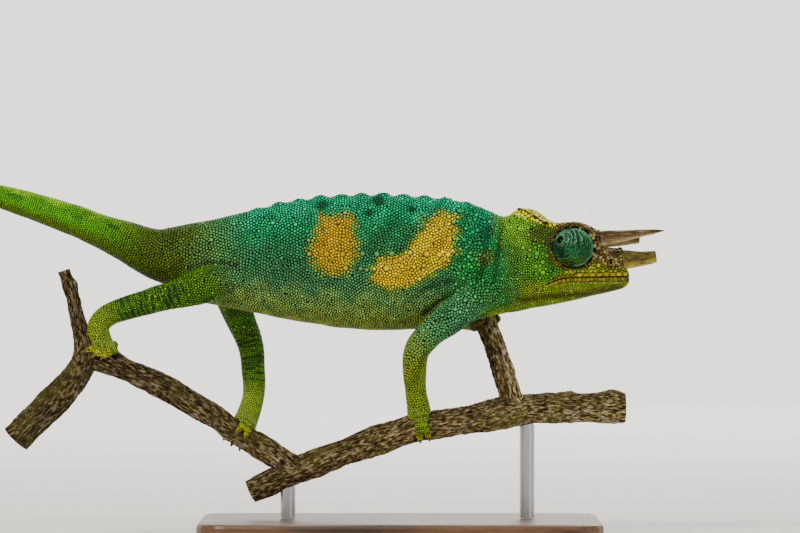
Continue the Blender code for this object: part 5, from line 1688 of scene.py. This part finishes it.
def roughBark():
    # Weathered bark of a shrub branch: grey-brown ridges and dark cracks with painted shade in the hollows,
    # pale flecks that are a painted highlight strongest on the top, and the top painted lighter and the
    # underside darker
    material, tree, shader = startMaterial("weathered_bark")
    coords = addNode(tree, "TexCoord").outputs["Object"]
    grain = addNode(tree, "Attribute", attribute_name="grain").outputs["Vector"]
    height = addNode(tree, "Attribute", attribute_name="relief").outputs["Fac"]
    upper = addNode(tree, "Attribute", attribute_name="upper").outputs["Fac"]
    streak = addNode(tree, "TexNoise", {"Vector": grain, "Scale": 1.8, "Detail": 7.0, "Roughness": 0.6})
    fibres = addNode(tree, "ValToRGB", (streak,), ((0.38, "#140b04"), (0.66, "#d0bc8a"), (0.50, "#604c26")))
    fleckNoise = addNode(tree, "TexNoise", {
        "Vector": coords, "Scale": 1 / (2.2 * mm), "Detail": 5.0, "Roughness": 0.7
    })
    # The pale lilac-grey flecks are a painted highlight, most on the top where the light falls
    most = addNode(tree, "MapRange", (upper, -0.3, 0.7, 0.1, 0.75))
    patches = addNode(tree, "MapRange", (fleckNoise, 0.54, 0.66, 0.0, most))
    flecked = addNode(tree, "Mix", {0: patches, 6: fibres, 7: "#b4aba6"}, data_type="RGBA")
    green = addNode(tree, "TexNoise", {"Vector": coords, "Scale": 1 / (14 * mm), "Detail": 4.0})
    share = addNode(tree, "MapRange", (green, 0.5, 0.7, 0.0, 0.55))
    algae = addNode(tree, "Mix", {0: share, 6: flecked, 7: "#6b6a2c"}, data_type="RGBA")
    broad = addNode(tree, "MapRange", (fleckNoise, 0.36, 0.62, 0.75, 1.45))
    # Painted shade in the relief's hollows and cracks
    hollow = addNode(tree, "MapRange", (height, -0.9, 0.35, 0.28, broad))
    # Painted light and shade: the top lighter and the underside darker; towards the rear the bark is darker
    # too
    under = addNode(tree, "MapRange", (upper, -1.0, 0.9, 0.42, 1.3))
    darkerBelowAndToRear = addNode(tree, "MapRange", (addNode(tree, "SeparateXYZ", (coords,)), -90 * mm, 0.0, 0.42, under))
    shade = addNode(tree, "Math", (hollow, darkerBelowAndToRear), operation="MULTIPLY")
    feed(tree, shader, {
        "Base Color": addNode(tree, "VectorMath", {0: algae, "Scale": shade}, operation="SCALE"),
        "Normal": addNode(tree, "Bump", {"Height": streak, "Strength": 0.9, "Distance": 0.25 * mm}),
        "Roughness": 0.86, "IOR": 1.5, "Specular IOR Level": 0.12,
    })
    return material


def sawnWood():
    # Sawn end grain: pale rings round the pith
    material, tree, shader = startMaterial("sawn_end_grain")
    grain = addNode(tree, "Attribute", attribute_name="grain").outputs["Vector"]
    drift = addNode(tree, "TexNoise", {"Vector": grain, "Scale": 1.2, "Detail": 4.0})
    shifted = addNode(tree, "Math", (addNode(tree, "SeparateXYZ", (grain,)), drift), operation="ADD")
    rings = addNode(tree, "Math", (shifted, 8.5), operation="MULTIPLY")
    wave = addNode(tree, "Math", (rings,), operation="SINE")
    feed(tree, shader, {
        "Base Color": addNode(tree, "ValToRGB", (wave,), ((0.1, "#c9a874"), (0.9, "#9c7744"))),
        "Roughness": 0.8, "IOR": 1.5,
    })
    return material


def barkRelief(name, seed, far, turn, radius):
    x, y = math.cos(turn) * radius, math.sin(turn) * radius
    spot = Vector((x, y, far * 0.33 + seed * 31))
    ridges = noise.noise(spot * 0.85) + 0.55 * noise.noise(spot * 2.1)
    cracks = abs(noise.noise(Vector((x * 1.3, y * 1.3, far * 0.22 + seed * 17))))
    relief = bark["ridge"] * ridges - 0.5 * max(0.0, 0.12 - cracks) / 0.12
    relief += 0.12 * noise.noise(Vector((x, y, far + seed)) * 1.9)
    for place, degrees, wide, tall in bark["knobs"][name]:
        gap = ((turn - math.radians(degrees) + math.pi) % fullTurn - math.pi) * radius
        relief += tall * math.exp(-((math.hypot(far - place, gap) / wide) ** 2))
    return relief


def makeBranch(seed, name, knots):
    table, count, rings, grain, reliefs = route(knots), bark["round"], [], [], []
    fars, turns = evenly(table, bark["step"], 1), [fullTurn * k / bark["round"] for k in range(bark["round"])]
    for far, (row, _ahead, side, rise) in zip(fars, frameAlong(table, fars, across)):
        centre, radius, ring = Vector(row[:3]), row[3], []
        for turn in turns:
            c, s = math.cos(turn), math.sin(turn)
            waves = math.sin(far * 0.31 + seed) + math.sin(far * 0.17 + 2 * turn + 3 * seed)
            relief = barkRelief(name, seed, far, turn, radius)
            reach = radius * (1 + bark["wobble"] * waves) - 0.25 + relief
            ring.append(centre + (rise * c + side * s) * reach)
            grain.append((c * radius, s * radius, far * 0.27))
            reliefs.append(relief)
        rings.append(ring)
    # Each end is closed by rings of a flat sawn face; their grain holds the distance from the pith
    caps = []
    for edge in (rings[0], rings[-1]):
        pith = sum(edge, Vector()) / count
        caps.append(([[pith + (spot - pith) * share for spot in edge] for share in bark["cap"]],
                     [((spot - pith).length * share, 0.0, 0.0) for share in bark["cap"] for spot in edge]))
    (start, startGrain), (end, endGrain) = caps
    flat = [0.2] * len(startGrain)
    rings = start[::-1] + rings + end
    startGrain = np.array(startGrain).reshape(-1, count, 3)[::-1].reshape(-1, 3)
    mesh = meshOf(name + "_bark", np.array(rings).reshape(-1, 3), ringFaces(len(rings), count))
    mesh.shade_smooth()
    setAttribute(mesh, "grain", np.concatenate([startGrain, grain, endGrain]))
    setAttribute(mesh, "relief", flat + reliefs + flat)
    setAttribute(mesh, "upper", np.tile(np.cos(turns), len(rings)))
    newPiece(mesh.name, mesh, barkFinish, "bark", name)
    mesh.materials.append(woodFinish)
    ends, capFaces = np.zeros(len(mesh.polygons), np.int32), count * len(bark["cap"])
    ends[:capFaces], ends[-2 - capFaces:] = bark["cuts"][name]
    ends[-2:] = 1
    mesh.polygons.foreach_set("material_index", ends)
    faceOut(mesh)


barkFinish = roughBark()
woodFinish = sawnWood()
for seed, (name, knots) in enumerate(perch.items()):
    makeBranch(seed, name, knots)
print("perch made")


# Stand: the solids' own shapes with a wood and a metal finish

def oiledWalnut():
    # Walnut board, planed and oiled: brown lengthwise grain with a low sheen
    material, tree, shader = startMaterial("oiled_walnut")
    coords = addNode(tree, "TexCoord").outputs["Object"]
    along = addNode(tree, "Mapping", {"Vector": coords, "Scale": (0.12, 1.0, 1.0)})
    figure = addNode(tree, "TexNoise", {
        "Vector": along, "Scale": 1 / (6 * mm), "Detail": 5.0, "Distortion": 0.6
    })
    pores = addNode(tree, "TexNoise", {"Vector": along, "Scale": 1 / (0.8 * mm), "Detail": 4.0})
    board = addNode(tree, "ValToRGB", (figure,), ((0.35, "#3b2517"), (0.68, "#7d5636")))
    tone = addNode(tree, "MapRange", (pores, 0.35, 0.6, 0.7, 1.05))
    feed(tree, shader, {
        "Base Color": addNode(tree, "VectorMath", {0: board, "Scale": tone}, operation="SCALE"),
        "Normal": addNode(tree, "Bump", {"Height": pores, "Strength": 0.25, "Distance": 0.1 * mm}),
        "Roughness": 0.42, "IOR": 1.5,
    })
    return material


def brushedSteel():
    # Drawn steel rod: fine lengthwise brushing in the gloss
    material, tree, shader = startMaterial("brushed_steel")
    coords = addNode(tree, "TexCoord").outputs["Object"]
    along = addNode(tree, "Mapping", {"Vector": coords, "Scale": (1.0, 1.0, 0.02)})
    lines = addNode(tree, "TexNoise", {"Vector": along, "Scale": 1 / (0.25 * mm), "Detail": 3.0})
    feed(tree, shader, {
        "Base Color": "#b9babc", "Metallic": 1.0,
        "Roughness": addNode(tree, "MapRange", (lines, 0.3, 0.7, 0.24, 0.42)),
        "Normal": addNode(tree, "Bump", {"Height": lines, "Strength": 0.15, "Distance": 0.03 * mm}),
    })
    return material


def dressNode(name, material):
    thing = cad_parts[name]
    thing.data.materials.clear()
    thing.data.materials.append(material)


dressNode("stand_base", oiledWalnut())
steel = brushedSteel()
for name in ("stand_rod_rear", "stand_rod_front"):
    dressNode(name, steel)

print("all pieces made")
